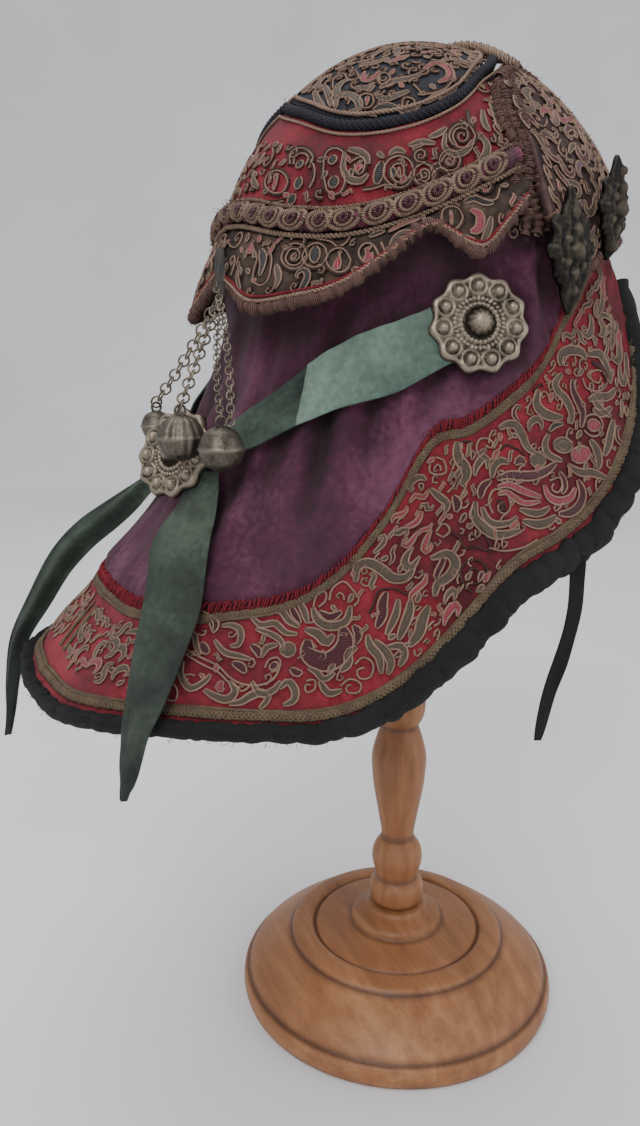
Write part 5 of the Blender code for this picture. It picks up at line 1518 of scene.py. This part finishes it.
def add_tails():
    """The two free ends of ribbon below the back disc, and the knot behind it."""
    for name, table, height in (
        ("right", TAIL_RIGHT, right_tail_height),
        ("left", TAIL_LEFT, left_tail_height),
    ):
        grid = strip_grid(table, (96, 20), height)
        # The tail's colour darkens towards its free end
        shade = np.linspace(0.7, 0.1, 96)[:, None]
        nodes = ("ribbon_tail_" + name,)
        piece = add_grid("tail_" + name, grid, "green_tail", "green_ribbon", nodes, 0.5, shade=shade)
        declare_sheet(grid)
    turn = full_turn(96)[:, None]
    rise = np.linspace(0, pi, 40)[None, :]
    pleats = 1.0 + 0.09 * np.sin(9 * turn + 2.5 * np.cos(rise)) * np.sin(rise) ** 2
    radius = KNOT_RADIUS * 0.95 * pleats * np.sin(rise)
    thick = KNOT_THICKNESS * 0.5 * np.cos(rise) * pleats
    outward = unit(np.asarray(BACK_DISC_NORMAL))
    centre = np.asarray(BACK_DISC_CENTRE) - outward * (PLATE_BACK + GAP + 0.5 * KNOT_THICKNESS)
    grid = placed(np.stack([radius * np.cos(turn), radius * np.sin(turn), thick], axis=-1), centre, outward)
    add_grid("wrapped_knot", grid, "green_dark", "green_ribbon", ("ribbon_knot",), fill=0.7, weld=True,
             close_u=True)


def add_ties():
    """The black tapes that tie the hat, waved across and narrowing at their free ends."""
    place = np.linspace(TIE[0][0], TIE[-1][0], 80)
    half = TIE_HALF_WIDTH * (1.0 - 0.6 * np.clip(place / TIE[-1][0], 0.0, 1.0) ** 9)
    for name, sign in SIDES:
        middle = read_table(TIE, place) * (sign, 1, 1)
        across = unit(np.array([0.25, 0.97, 0.0]) * (sign, 1, 1))
        normal = beside(middle, across)
        side = np.linspace(1, -1, 9) * sign
        grid = middle[:, None, :] + across * (half[:, None] * side)[..., None]
        wave = 0.5 * ripple(place[:, None] * 0.25, side[None, :] * 0.3, (2.0, 1.0), 71)
        grid = grid + normal[:, None, :] * (wave + 0.3 * side[None, :] ** 2)[..., None]
        add_grid("tape_tie_" + name, grid, "black", "black_binding", ("tie_" + name,), THIN_CLOTH * 0.7)


def plate_grid(outline, counts, height):
    """Return a metal plate's grid, from its centre over its rim to the middle of its back."""
    turn = full_turn(counts[0])
    reach = np.linspace(0, 1, counts[1])
    edge = outline(turn)
    x = np.sin(turn)[:, None] * edge[:, None, 0] * reach
    y = np.cos(turn)[:, None] * edge[:, None, 1] * reach
    z, shade = height(x, y, np.broadcast_to(reach, x.shape), turn[:, None])
    front = np.stack([x, y, z], axis=-1)
    back = front[:, ::-1][:, ::6].copy()
    back[..., 2] = -PLATE_BACK
    grid = np.concatenate([front, back], axis=1)
    return grid, np.concatenate([shade, np.full(back.shape[:2], 0.2)], axis=1)


def disc_outline(turn):
    """Return the disc's scalloped reach."""
    reach = DISC_RADIUS * (0.985 + 0.05 * np.cos(DISC_BOSSES * turn))
    return np.stack([reach, reach], axis=-1)


def ring_distance(radius, turn, count, ring_radius, arc_radius):
    """Return how far each point of a disc lies from the nearest of a ring of evenly set places."""
    angle = (turn * count / (2 * pi) + 0.5) % 1.0 - 0.5
    return np.hypot(angle * 2 * pi / count * arc_radius, radius - ring_radius)


def disc_height(x, y, reach, turn):
    """Return the disc's relief: domed centre, rings of granules and eleven ringed bosses."""
    radius = np.hypot(x, y)
    z = np.interp(reach, *np.array(DISC_PROFILE).T)
    shade = np.interp(reach, *np.array(DISC_SHADES).T)
    for ring, beads, size in DISC_GRANULES:
        away = ring_distance(radius, turn, beads, ring * DISC_RADIUS, ring * DISC_RADIUS)
        bead = np.sqrt(np.maximum(1 - (away / size) ** 2, 0))
        z = z + bead * size * 1.1
        shade = np.where(bead > 0.3, 0.75, shade)
    away = ring_distance(radius, turn, DISC_BOSSES, BOSS_RING * DISC_RADIUS, radius)
    boss = np.sqrt(np.maximum(1 - (away / BOSS_RADIUS) ** 2, 0))
    z = z + 2.5 * boss
    z = z + 0.9 * np.exp(-(((away - 3.0) / 0.42) ** 2)) + 0.35 * np.exp(-(((away - 2.2) / 0.25) ** 2))
    shade = np.where(boss > 0.1, 0.35 + 0.6 * boss, shade + 0.4 * np.exp(-(((away - 3.0) / 0.5) ** 2)))
    return z, np.clip(shade, 0, 1)


def add_discs():
    """The three stamped discs."""
    centre = cape.at(*SIDE_DISC_PLACE, SIDE_DISC_STANDOFF + 0.4)
    normal = cape.normal(*SIDE_DISC_PLACE)
    grid, shade = plate_grid(disc_outline, (187, 38), disc_height)
    for name, middle, outward in (
        ("disc_right", centre, normal),
        ("disc_left", centre * (-1, 1, 1), normal * (-1, 1, 1)),
        ("disc_back", BACK_DISC_CENTRE, BACK_DISC_NORMAL),
    ):
        disc = placed(grid, middle, outward)
        add_grid("stamped_" + name, disc, "silver", "aged_silver", (name,), weld=True, shade=shade,
                 close_u=True)


def leaf_height(x, y, reach, turn):
    """Return an ornament's relief: a long ridge, beads round it and small bosses."""
    z = np.interp(reach, *np.array(LEAF_PROFILE).T)
    z = z + 0.7 * ripple(x / 20.0, y / 20.0, (1.6, 1.4), 201)
    row = 0.80 - 0.06 * np.cos(3 * turn)
    beads = np.maximum(np.cos(13 * turn), 0) * np.exp(-(((reach - row) / 0.08) ** 2))
    veins = np.cos(x * 1.7 + 1.1 * np.sin(y * 0.5)) * np.exp(-(((reach - 0.45) / 0.3) ** 2))
    z = z + 0.8 * beads + 0.3 * veins
    shade = 0.28 + 0.4 * beads + 0.2 * veins
    for across, place, size in LEAF_BOSSES:
        away = np.hypot(x - across, y - place)
        boss = np.sqrt(np.maximum(1 - (away / size) ** 2, 0))
        z = z + size * 0.75 * boss
        shade = shade + 0.55 * boss
    return z, np.clip(shade, 0, 1)


def add_ornaments():
    """The dark embossed leaves at the temples and over the brow."""
    for name, azimuth, height, half_height, width, lean, standoff in ORNAMENTS:
        def leaf_outline(turn, half_height=half_height, width=width):
            angle = np.degrees(np.minimum(turn, 2 * pi - turn))
            reach = np.interp(angle, *np.array(LEAF_OUTLINE).T) * half_height
            reach = reach * (0.94 + 0.05 * np.cos(9 * turn + 1.0) + 0.035 * np.cos(23 * turn + 2.0))
            return np.stack([reach * width, reach], axis=-1)

        outward = unit(crown_place(azimuth, 0.0) * (1, 1, 0))
        centre = crown_place(azimuth, rise_at(azimuth, height)) + outward * standoff
        normal = outward + np.array([0, 0, sin(radians(lean))])
        grid, shade = plate_grid(leaf_outline, (112, 24), leaf_height)
        for side, sign in SIDES:
            node = f"{name}_{side}"
            leaf = placed(grid, centre * (sign, 1, 1), normal * (sign, 1, 1))
            add_grid("embossed_" + node, leaf, "dark_metal", "dark_metal", (node,), weld=True, shade=shade,
                     close_u=True)


def add_bells():
    """The round bells: two ribbed or plain shells with a seam, a slit with a hole at its end, dented in and
    painted dark as shade, and a loop.
    """
    turn = full_turn(72)[:, None]
    rise = np.linspace(0, pi, 48)[None, :]
    for name, x, y, z, radius in BELLS:
        ribs = 0.035 * np.cos(15 * turn) * np.sin(rise) ** 2 if name == "bell_middle" else 0.0 * turn
        up = np.cos(rise)
        swell = 1.0 + ribs + 0.06 * np.exp(-((up / 0.05) ** 2)) + 0.012 * np.cos(8 * rise)
        px, py = np.sin(rise) * np.cos(turn), np.sin(rise) * np.sin(turn)
        slit = (np.abs(px - 0.35) < 0.075) & (up < -0.3)
        slit = slit | (np.hypot(px - 0.35, py + 0.55) < 0.13) & (up < 0.1)
        swell = np.where(slit, swell * 0.86, swell)
        # Painted shade: the slit and its hole are darkened, standing in for the dark inside of the bell
        shade = np.where(slit, 0.0, 0.5 + 0.5 * np.exp(-((up / 0.08) ** 2)))
        grid = np.stack([px * swell, py * swell, np.broadcast_to(up, px.shape) * swell], axis=-1) * radius
        pile = Pile()
        pile.add(grid + (x, y, z), None, shade, close_u=True, flip=True)
        ring = full_turn(20)
        line = np.stack([0 * ring, 1.9 * np.sin(ring), 1.9 * np.cos(ring) + radius + 1.3], axis=-1)
        facing = np.broadcast_to([1.0, 0, 0], line.shape)
        add_tube(pile, line + (x, y, z), facing, 0.5, 7, closed=True, shade=0.6)
        pile.make("round_" + name, "bell", "aged_silver", (name,), weld=True)


def add_chains():
    """The link chains from the tape to the bells."""
    for name, wire, pitch, half_length, half_width, *places in CHAINS:
        top, middle, foot = (np.array(places[index : index + 3], float) for index in (0, 3, 6))
        share = np.linspace(0, 1, 60)[:, None]
        route = top * (1 - share) ** 2 + middle * 2 * share * (1 - share) + foot * share**2
        along = along_length(route)
        pile = Pile()
        turn = full_turn(12)
        for index in range(int(along[-1] / pitch) + 1):
            here = min(index * pitch + half_length * 0.6, along[-1])
            centre, ahead, back = read_line((here, min(here + 1, along[-1]), max(here - 1, 0)), along, route)
            tangent = unit(ahead - back)
            flat = unit(np.cross(tangent, unit(np.array([-0.6, 0.75, 0.25]))))
            tip = radians(28 if index % 2 else -34)
            across = flat * cos(tip) + np.cross(flat, tangent) * sin(tip)
            line = centre + tangent * (half_length * np.cos(turn))[:, None]
            line = line + across * (half_width * np.sin(turn))[:, None]
            facing = np.broadcast_to(np.cross(tangent, across), line.shape)
            add_tube(pile, line, facing, wire, 5, closed=True, shade=0.55)
        pile.make("links_" + name, "silver", "aged_silver", (name,))


def add_tab():
    """The grey twill tape that the chains hang from."""
    side, down = crossed(np.linspace(-0.5, 0.5, 24), np.linspace(0.5, -0.5, 48))
    x = CHAIN_TAB[0] + side * CHAIN_TAB_SIZE[0] * 0.95
    z = CHAIN_TAB[2] + down * CHAIN_TAB_SIZE[2] * 1.06
    y = CHAIN_TAB[1] + 0.3 + 0.4 * ripple(side, down, (1.5, 1.2), 81) - 0.5 * side**2
    thread = np.stack([side * 10, down * 17], axis=-1) @ np.array([[0.7, 0.7], [-0.7, 0.7]])
    grid = np.stack([x, y, z], axis=-1)
    add_grid("twill_tab", grid, "tape", "grey_tape", ("chain_tab",), 1.2, 0.2, thread=thread)


def add_braids():
    """The gold braids inside the border's two edges and down its back seam, and the red stitches."""
    braid = Pile()
    share = np.linspace(-0.955, 0.955, 1200)
    length = cape_length(share)
    inner = np.maximum(border_start(share), 0.02) + 3.2 / length
    outer = 1.0 - (2.0 * np.interp(np.abs(share), *BINDING_WIDTH) + 2.6) / length
    seam = np.linspace(float(border_start(0.0)) + 0.05, 0.9, 60)
    for place, drop, width, radius, pitch in (
        (share, inner, 1.9, 0.62, 4.2),
        (share, inner + 1.5 / length, 1.3, 0.45, 3.4),
        (share, outer, 2.4, 0.72, 4.6),
        (share, outer - 1.9 / length, 1.3, 0.45, 3.4),
        (np.full(60, -0.011), seam, 1.6, 0.55, 4.2),
        (np.full(60, 0.011), seam, 1.6, 0.55, 4.2),
    ):
        add_braid(braid, surface_line(border, place, drop, 0.1, 1.1), width, radius, pitch)
    braid.make("border_braids", "braid", "tan_trim")

    stitches = Pile()
    random = np.random.default_rng(91)
    for spot in np.linspace(-HOOD_END, HOOD_END, 470):
        length = float(cape_length(spot))
        start = float(border_start(spot)) + random.uniform(-2.6, -1.4) / length
        end = float(border_start(spot)) + random.uniform(1.2, 2.4) / length
        drop = np.linspace(start, end, 6)
        drift = spot + np.linspace(0, random.uniform(-0.004, 0.004), 6)
        lift = np.array([0.2, 1.2, 1.3, 1.1, 0.9, 0.2])
        add_tube(stitches, cape.at(drift, drop, lift), cape.normal(drift, drop), 0.28, 4)
    stitches.make("edge_stitches", "thread_red", "red_satin")


def add_border_embroidery():
    """The border's scrolls: charted on the near side, mirrored, then filled with small motifs."""
    def low(u):
        return float(border_start(u)) + 8.5 / float(cape_length(u))

    def high(u):
        return 1.0 - 15.5 / float(cape_length(u))

    limits = (low, high)
    for name, sign in SIDES:
        work = Embroidery("border_" + name, border, 0.25, -1)
        work.chart(BORDER_CHART, (sign,))
        span = (0.03, 0.93) if sign > 0 else (-0.93, -0.03)
        work.scatter(span, limits, 6.6, 3.7, "ess crescent hook wave", "tan tan wine tan rose", 101, 0.56)
        work.scatter(span, limits, 3.8, 1.9, "curl drop ess curl", "tan tan wine rose", 102, 0.55)
        work.make()


def add_patch_embroidery():
    """The navy patch's scrolls, its twisted black cord between two pale ones, and the crown's braid."""
    azimuth = np.linspace(-180, 180, 361)
    edge = patch_edge(azimuth)
    rim = crown_place(azimuth, edge)
    order = np.argsort(rim[:, 0])
    behind = order[np.abs(azimuth[order]) <= 90]
    ahead = order[np.abs(azimuth[order]) > 90]
    limit = np.abs(rim[:, 0]).max() * 0.9

    def low(u):
        return float(np.interp(u, rim[ahead, 0], rim[ahead, 1])) + 4.0

    def high(u):
        return float(np.interp(u, rim[behind, 0], rim[behind, 1])) - 5.0

    work = Embroidery("patch", dome, LAYER_TOP + 0.25, 1, "dark")
    work.chart(PATCH_CHART)
    span = (-limit, limit)
    work.scatter(span, (low, high), 7.6, 4.3, "curl hook ess crescent", "tan tan rose", 111, 0.6)
    work.scatter(span, (low, high), 4.4, 2.0, "curl drop curl", "tan rose tan", 112, 0.55)
    work.make()

    cords, pale, ridge = Pile(), Pile(), Pile()
    add_twist(cords, surface_line(crown, azimuth, edge, LAYER_GAP + TRIM_RADIUS, 0.7), 2.0, 6.4, 3)
    cords.make("patch_twisted_cord", "cord_black", "black_binding", ("patch_cord",))
    add_twist(pale, surface_line(crown, azimuth, edge + 0.045, LAYER_TOP + 0.9, 0.7), 0.8, 3.2)
    add_twist(pale, surface_line(crown, azimuth, edge - 0.035, LAYER_TOP + 0.7, 0.7), 0.55, 3.2)
    pale.make("patch_pale_cord", "cord_light", "gold_embroidery")
    x = np.linspace(-38, 38, 140)
    add_braid(ridge, surface_line(dome, x, -14.0 - 0.004 * x**2, 3.6, 0.7), 5.0, 1.5, 5.2, 0.9)
    ridge.make("crown_ridge_braid", "cord_tan", "tan_trim")


def add_band_embroidery():
    """The red band's looped scrolls in double cords, below a plain strip."""
    def low(u):
        return float(roll_line(u)) + 0.075

    def high(u):
        return low(u) + (float(patch_edge(u)) - low(u)) * 0.66

    work = Embroidery("band", crown, LAYER_TOP + 0.55, 1, "dark")
    work.chart(BAND_CHART)
    span = (-88.0, 88.0)
    work.scatter(span, (low, high), 8.6, 4.6, "hook curl crescent ess", "black tan rose tan", 151, 0.62)
    work.scatter(span, (low, high), 4.8, 1.9, "curl drop ess", "tan black rose", 152, 0.62)
    work.make()


def add_roll():
    """The padded roll: magenta silk under a close row of tan cord loops, and twisted cords beside it."""
    azimuth = np.linspace(-BACK_LAYER_END, BACK_LAYER_END, 400)
    rise = roll_line(azimuth)
    points, normals, along = surface_line(crown, azimuth, rise, ROLL_RADIUS + GAP, 0.8)
    core, loops, fills, cord = Pile(), Pile(), Pile(), Pile()
    add_tube(core, points, normals, ROLL_RADIUS * (1 + 0.06 * np.sin(along * 1.4)), 20)
    roll = core.make("silk_roll", "magenta", "tan_trim", ("padded_roll",))
    side = beside(points, normals)
    turn = full_turn(26)
    random = np.random.default_rng(161)
    here = 6.0
    while here < along[-1] - 6.0:
        half_length = random.uniform(4.6, 6.4)
        for reach, pile, radius in ((1.0, loops, 0.85), (0.62, loops, 0.6), (0.3, fills, 0.9)):
            spot = here + half_length * (reach - 0.12) * np.cos(turn) + 1.2 * reach * np.sin(turn)
            lean = 1.15 * reach * np.sin(turn)
            centre, out, flat = (read_line(spot, along, rows) for rows in (points, normals, side))
            facing = out * np.cos(lean)[:, None] + flat * np.sin(lean)[:, None]
            add_tube(pile, centre + facing * (ROLL_RADIUS + 0.35), facing, radius, 6, closed=True)
        here += 2 * half_length * 0.92
    loops.make("roll_loops", "cord_tan", "tan_trim")
    fills.make("roll_silk_hearts", "silk_wine", "tan_trim")
    add_twist(cord, surface_line(crown, azimuth, rise - 0.052, LAYER_GAP + CLOTH + 1.2, 0.7), 1.0, 3.4)
    add_twist(cord, surface_line(crown, azimuth, rise + 0.05, LAYER_TOP + 1.0, 0.7), 0.8, 3.0)
    cord.make("roll_cords", "cord_tan", "tan_trim")


def flap_bumpy(azimuth, share):
    """Return the flap's outer face with its padded unevenness."""
    return flap.at(azimuth, share, 0.5 * ripple(azimuth / 60.0, share, (2.5, 1.2), 121) - 0.1)


def add_flap():
    """The scalloped flap: olive ground, scrolls, piping, a chenille edge and a dark tuft."""
    azimuth, share = crossed(np.linspace(-BACK_LAYER_END, BACK_LAYER_END, 180), np.linspace(0, 1, 20))
    grid = flap_bumpy(azimuth, share)
    add_grid("embroidered_flap", grid, "olive", "gold_embroidery", ("scalloped_flap",), CLOTH, 0.3, flip=True)
    work = Embroidery("flap", flap, 0.5, -1, "dark")
    work.chart(FLAP_CHART)
    span = (-86.0, 86.0)
    work.scatter(span, (0.1, 0.86), 8.4, 4.3, "ess hook crescent curl", "rose tan black tan wine", 122, 0.6)
    work.scatter(span, (0.06, 0.88), 4.6, 2.0, "curl drop ess", "tan rose black", 123, 0.6)
    work.make()
    line = np.linspace(-89, 89, 500)
    pale, red, tufts, hairs, dark = Pile(), Pile(), Pile(), Pile(), Pile()
    add_twist(pale, surface_line(flap, line, np.full(500, 0.9), 0.9, 0.7), 0.75, 3.0)
    add_twist(red, surface_line(flap, line, np.full(500, 0.84), 0.8, 0.7), 0.6, 2.6)
    points, normals, along = surface_line(flap, line, np.full(500, 0.985), -0.6, 0.7)
    add_tube(tufts, points, normals, 2.2 * knobs(along, 0.12, 2.2, 0.32, 40.0, 9.0, 124), 9)
    random = np.random.default_rng(125)
    pick = random.integers(0, len(points), 3000)
    spread = random.normal(0, 0.6, (3000, 3))
    outward = unit(normals[pick] * 0.5 + np.array([0, 0, -0.5]) + spread)
    add_hairs(hairs, points[pick] + outward * 1.4, outward, 2.6, 126, 0.13)
    bases = flap.at(random.uniform(-48, -40, 260), random.uniform(0.9, 1.02, 260), random.uniform(-1, 1, 260))
    add_hairs(dark, bases, unit(random.normal(0, 0.6, (260, 3)) + (0.4, 0.6, -0.8)), 6.0, 127, 0.16)
    dark.make("flap_dark_tuft", "black", "black_binding")
    pale.make("flap_pale_piping", "cord_light", "gold_embroidery")
    red.make("flap_red_piping", "thread_red", "red_satin")
    tufts.make("flap_chenille_edge", "fluff", "tan_trim")
    hairs.make("flap_loose_fibres", "fluff", "tan_trim")


def forehead_bumpy(azimuth, share):
    """Return the forehead band's outer face with its quilted unevenness."""
    lumps = 0.7 * ripple(azimuth / 60.0, share, (4.0, 2.5), 131) - 0.2
    return forehead.at(azimuth, share, lumps * np.sin(pi * np.clip(share, 0, 1)) ** 0.5)


def add_forehead():
    """The forehead band: mauve silk, dense scrolls, two knobby edges and loose fibres."""
    start = FOREHEAD_BAND[0][0]
    azimuth, share = crossed(np.linspace(start, 360 - start, 180), np.linspace(0, 1, 24))
    grid = forehead_bumpy(azimuth, share)
    add_grid("embroidered_forehead", grid, "mauve", "gold_embroidery", ("forehead_band",), PADDED_CLOTH, 0.5,
             flip=True)
    work = Embroidery("forehead", forehead, 0.4, -1)
    span = (start + 1.5, 358.5 - start)
    work.scatter(span, (0.06, 0.94), 7.0, 4.0, "ess hook curl crescent", "tan rose mauve tan wine", 132, 0.6)
    work.scatter(span, (0.04, 0.96), 4.2, 1.9, "curl drop ess", "tan rose mauve", 133, 0.58)
    work.make()
    hairs, rims = Pile(), Pile()
    line = np.linspace(start, 360 - start, 500)
    for edge in (0.01, 0.985):
        points, normals, along = surface_line(forehead, line, np.full(500, edge), -0.8, 0.7)
        add_tube(rims, points, normals, 1.9 * knobs(along, 0.22, 1.9, 0.2, 40.0, 8.0, 134), 8)
        random = np.random.default_rng(135)
        pick = random.integers(0, len(points), 1000)
        outward = unit(normals[pick] + random.normal(0, 0.6, (1000, 3)))
        add_hairs(hairs, points[pick] + outward, outward, 2.4, 136, 0.12)
    random = np.random.default_rng(137)
    azimuth = random.uniform(start, 360 - start, 1800)
    share = random.uniform(0.02, 0.98, 1800)
    add_hairs(hairs, forehead.at(azimuth, share, 0.5), forehead.normal(azimuth, share), 1.9, 138, 0.13, 1.1)
    rims.make("forehead_rims", "fluff", "tan_trim")
    hairs.make("forehead_loose_fibres", "fluff", "tan_trim")


def add_side_trims():
    """The knobby trims and small scrolls where the crown's back layers meet the forehead band."""
    tufts, hairs = Pile(), Pile()
    work = Embroidery("side_trim", crown, 2.3, 1)
    random = np.random.default_rng(181)
    for sign in (1, -1):
        for azimuth, lift, top, radius in SIDE_TRIMS:
            rise = np.linspace(0.03, top, 80)
            turn = sign * (azimuth + 1.2 * np.sin(rise * 21.0))
            points, normals, along = surface_line(crown, turn, rise, lift, 0.6)
            add_tube(tufts, points, normals, radius * knobs(along, 0.25, 2.4, 0.25, 30.0, 9.0, 182), 9)
            pick = random.integers(0, len(points), 300)
            outward = unit(normals[pick] + random.normal(0, 0.7, (300, 3)))
            add_hairs(hairs, points[pick] + outward * radius, outward, 2.6, 183, 0.13)
        span = (87.0, 98.0) if sign > 0 else (-98.0, -87.0)
        work.scatter(span, (0.04, 0.7), 5.0, 3.0, "curl ess hook", "tan rose wine", 184, 0.5)
    work.make()
    tufts.make("side_trim_tufts", "fluff", "tan_trim")
    hairs.make("side_trim_fibres", "fluff", "tan_trim")


def add_loose_threads():
    """Frayed threads along the roll and round the patch."""
    random = np.random.default_rng(191)
    threads = Pile()
    azimuth = random.uniform(-178, 178, 420)
    edge = patch_edge(azimuth)
    bases, normals = crown.at(azimuth, edge, 2.6), crown.normal(azimuth, edge)
    add_hairs(threads, bases, normals, 3.4, 192, 0.16, 1.2)
    azimuth = random.uniform(-89, 89, 900)
    roll = roll_line(azimuth) + random.uniform(-0.05, 0.05, 900)
    bases, normals = crown.at(azimuth, roll, ROLL_RADIUS + 2.6), crown.normal(azimuth, roll)
    add_hairs(threads, bases, normals, 3.0, 193, 0.15, 1.2)
    threads.make("crown_frayed_threads", "fluff", "tan_trim")


def add_binding_fluff():
    """Loose fibres and pale specks on the black binding."""
    random = np.random.default_rng(141)
    share = random.uniform(-0.99, 0.99, 1500)
    wide = np.interp(np.abs(share), *BINDING_WIDTH)
    drop = 1.0 - wide / cape_length(share)
    centre = cape.at(share, drop, -0.5 * CLOTH)
    normal = cape.normal(share, drop)
    outward = unit(normal + random.normal(0, 0.8, (1500, 3)) + np.array([0, 0, -0.5]))
    bases = centre + outward * (BINDING_RADIUS * 0.95)
    dark, pale = Pile(), Pile()
    add_hairs(dark, bases[:1100], outward[:1100], 2.2, 142, 0.13)
    add_hairs(pale, bases[1100:], outward[1100:], 1.0, 143, 0.14)
    dark.make("binding_loose_fibres", "black", "black_binding")
    pale.make("binding_pale_specks", "silk_tan", "tan_trim")


def add_camera_and_light():
    """The photograph's camera, a pale floor and soft light."""
    distance, height, bearing = 398.4, 301.4, radians(30.0)
    swing, tilt = radians(5.4), radians(12.6)
    ahead = Vector((cos(bearing), -sin(bearing), 0.0))
    left = Vector((sin(bearing), cos(bearing), 0.0))
    level = ahead * cos(swing) + left * sin(swing)
    forward = level * cos(tilt) + Vector((0.0, 0.0, -sin(tilt)))
    right = forward.cross(Vector((0.0, 0.0, 1.0))).normalized()
    above = right.cross(forward)
    data = bpy.data.cameras.new("camera")
    data.sensor_fit = "VERTICAL"
    data.sensor_height = SENSOR_HEIGHT
    data.lens = FOCAL_PIXELS / PHOTO_PIXELS * SENSOR_HEIGHT
    data.clip_start = 0.01
    camera = bpy.data.objects.new("camera", data)
    turn = Matrix((right, above, -forward)).transposed().to_4x4()
    place = Vector((-distance * cos(bearing), distance * sin(bearing), height)) * MM
    camera.matrix_world = Matrix.Translation(place) @ turn
    bpy.context.scene.collection.objects.link(camera)
    bpy.context.scene.camera = camera

    floor = bpy.data.meshes.new("floor")
    bend = np.linspace(0.0, 0.5 * pi, 16)
    run = np.concatenate([[-4.0], 1.4 + 1.2 * np.sin(bend), [2.6]])
    rise = np.concatenate([[0.0], 1.2 * (1.0 - np.cos(bend)), [5.0]])
    corners = [ahead * a + left * side + Vector((0.0, 0.0, b)) for a, b in zip(run, rise) for side in (-5, 5)]
    strips = [(2 * index, 2 * index + 1, 2 * index + 3, 2 * index + 2) for index in range(len(run) - 1)]
    floor.from_pydata(corners, [], strips)
    floor.shade_smooth()
    paint = Paint("pale_floor", 0.9)
    colour = paint.ramp(paint.noise(3.0, 3.0), (0.3, (0.70, 0.70, 0.72)), (0.7, (0.77, 0.77, 0.78)))
    floor.materials.append(paint.finish(colour))
    piece = bpy.data.objects.new("floor", floor)
    bpy.context.scene.collection.objects.link(piece)

    middle = Vector((0.0, 0.05, 0.25))
    for name, place, size, power in (
        ("window_light", (-1.2, 1.1, 1.5), 1.2, 26.0),
        ("fill_light", (-1.3, -1.0, 0.7), 1.6, 9.0),
        ("top_light", (0.3, 0.2, 1.8), 1.4, 14.0),
    ):
        lamp = bpy.data.lights.new(name, "AREA")
        lamp.shape = "DISK"
        lamp.size = size
        lamp.energy = power
        item = bpy.data.objects.new(name, lamp)
        item.location = place
        item.rotation_euler = (middle - Vector(place)).to_track_quat("-Z", "Y").to_euler()
        bpy.context.scene.collection.objects.link(item)
    world = bpy.data.worlds.new("studio")
    world.use_nodes = True
    background = world.node_tree.nodes["Background"]
    background.inputs["Color"].default_value = (0.86, 0.87, 0.9, 1.0)
    background.inputs["Strength"].default_value = 0.84
    bpy.context.scene.world = world


def dress_nodes():
    """Give the nodes that stay as they are a finished material."""
    kinds = {
        "crown_cap": "purple", "forehead_band": "mauve", "scalloped_flap": "olive", "padded_roll": "magenta",
        "patch_cord": "cord_black", "stand_head": "wood_post", "ribbon_knot": "green_dark",
        "chain_tab": "tape",
    }
    for name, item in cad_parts.items():
        kind = kinds.get(name)
        if kind is None:
            kind = "green" if name.startswith("ribbon") else "black" if name.startswith("tie") else "silver"
        for slot in item.material_slots:
            slot.material = materials[kind]


for add in (
    add_hood,
    add_border,
    add_binding,
    add_crown_cap,
    add_crown_layers,
    add_stand,
    add_ribbons,
    add_tails,
    add_ties,
    add_discs,
    add_ornaments,
    add_bells,
    add_chains,
    add_tab,
    add_braids,
    add_border_embroidery,
    add_patch_embroidery,
    add_band_embroidery,
    add_roll,
    add_flap,
    add_forehead,
    add_side_trims,
    add_loose_threads,
    add_binding_fluff,
    add_camera_and_light,
    dress_nodes,
):
    add()
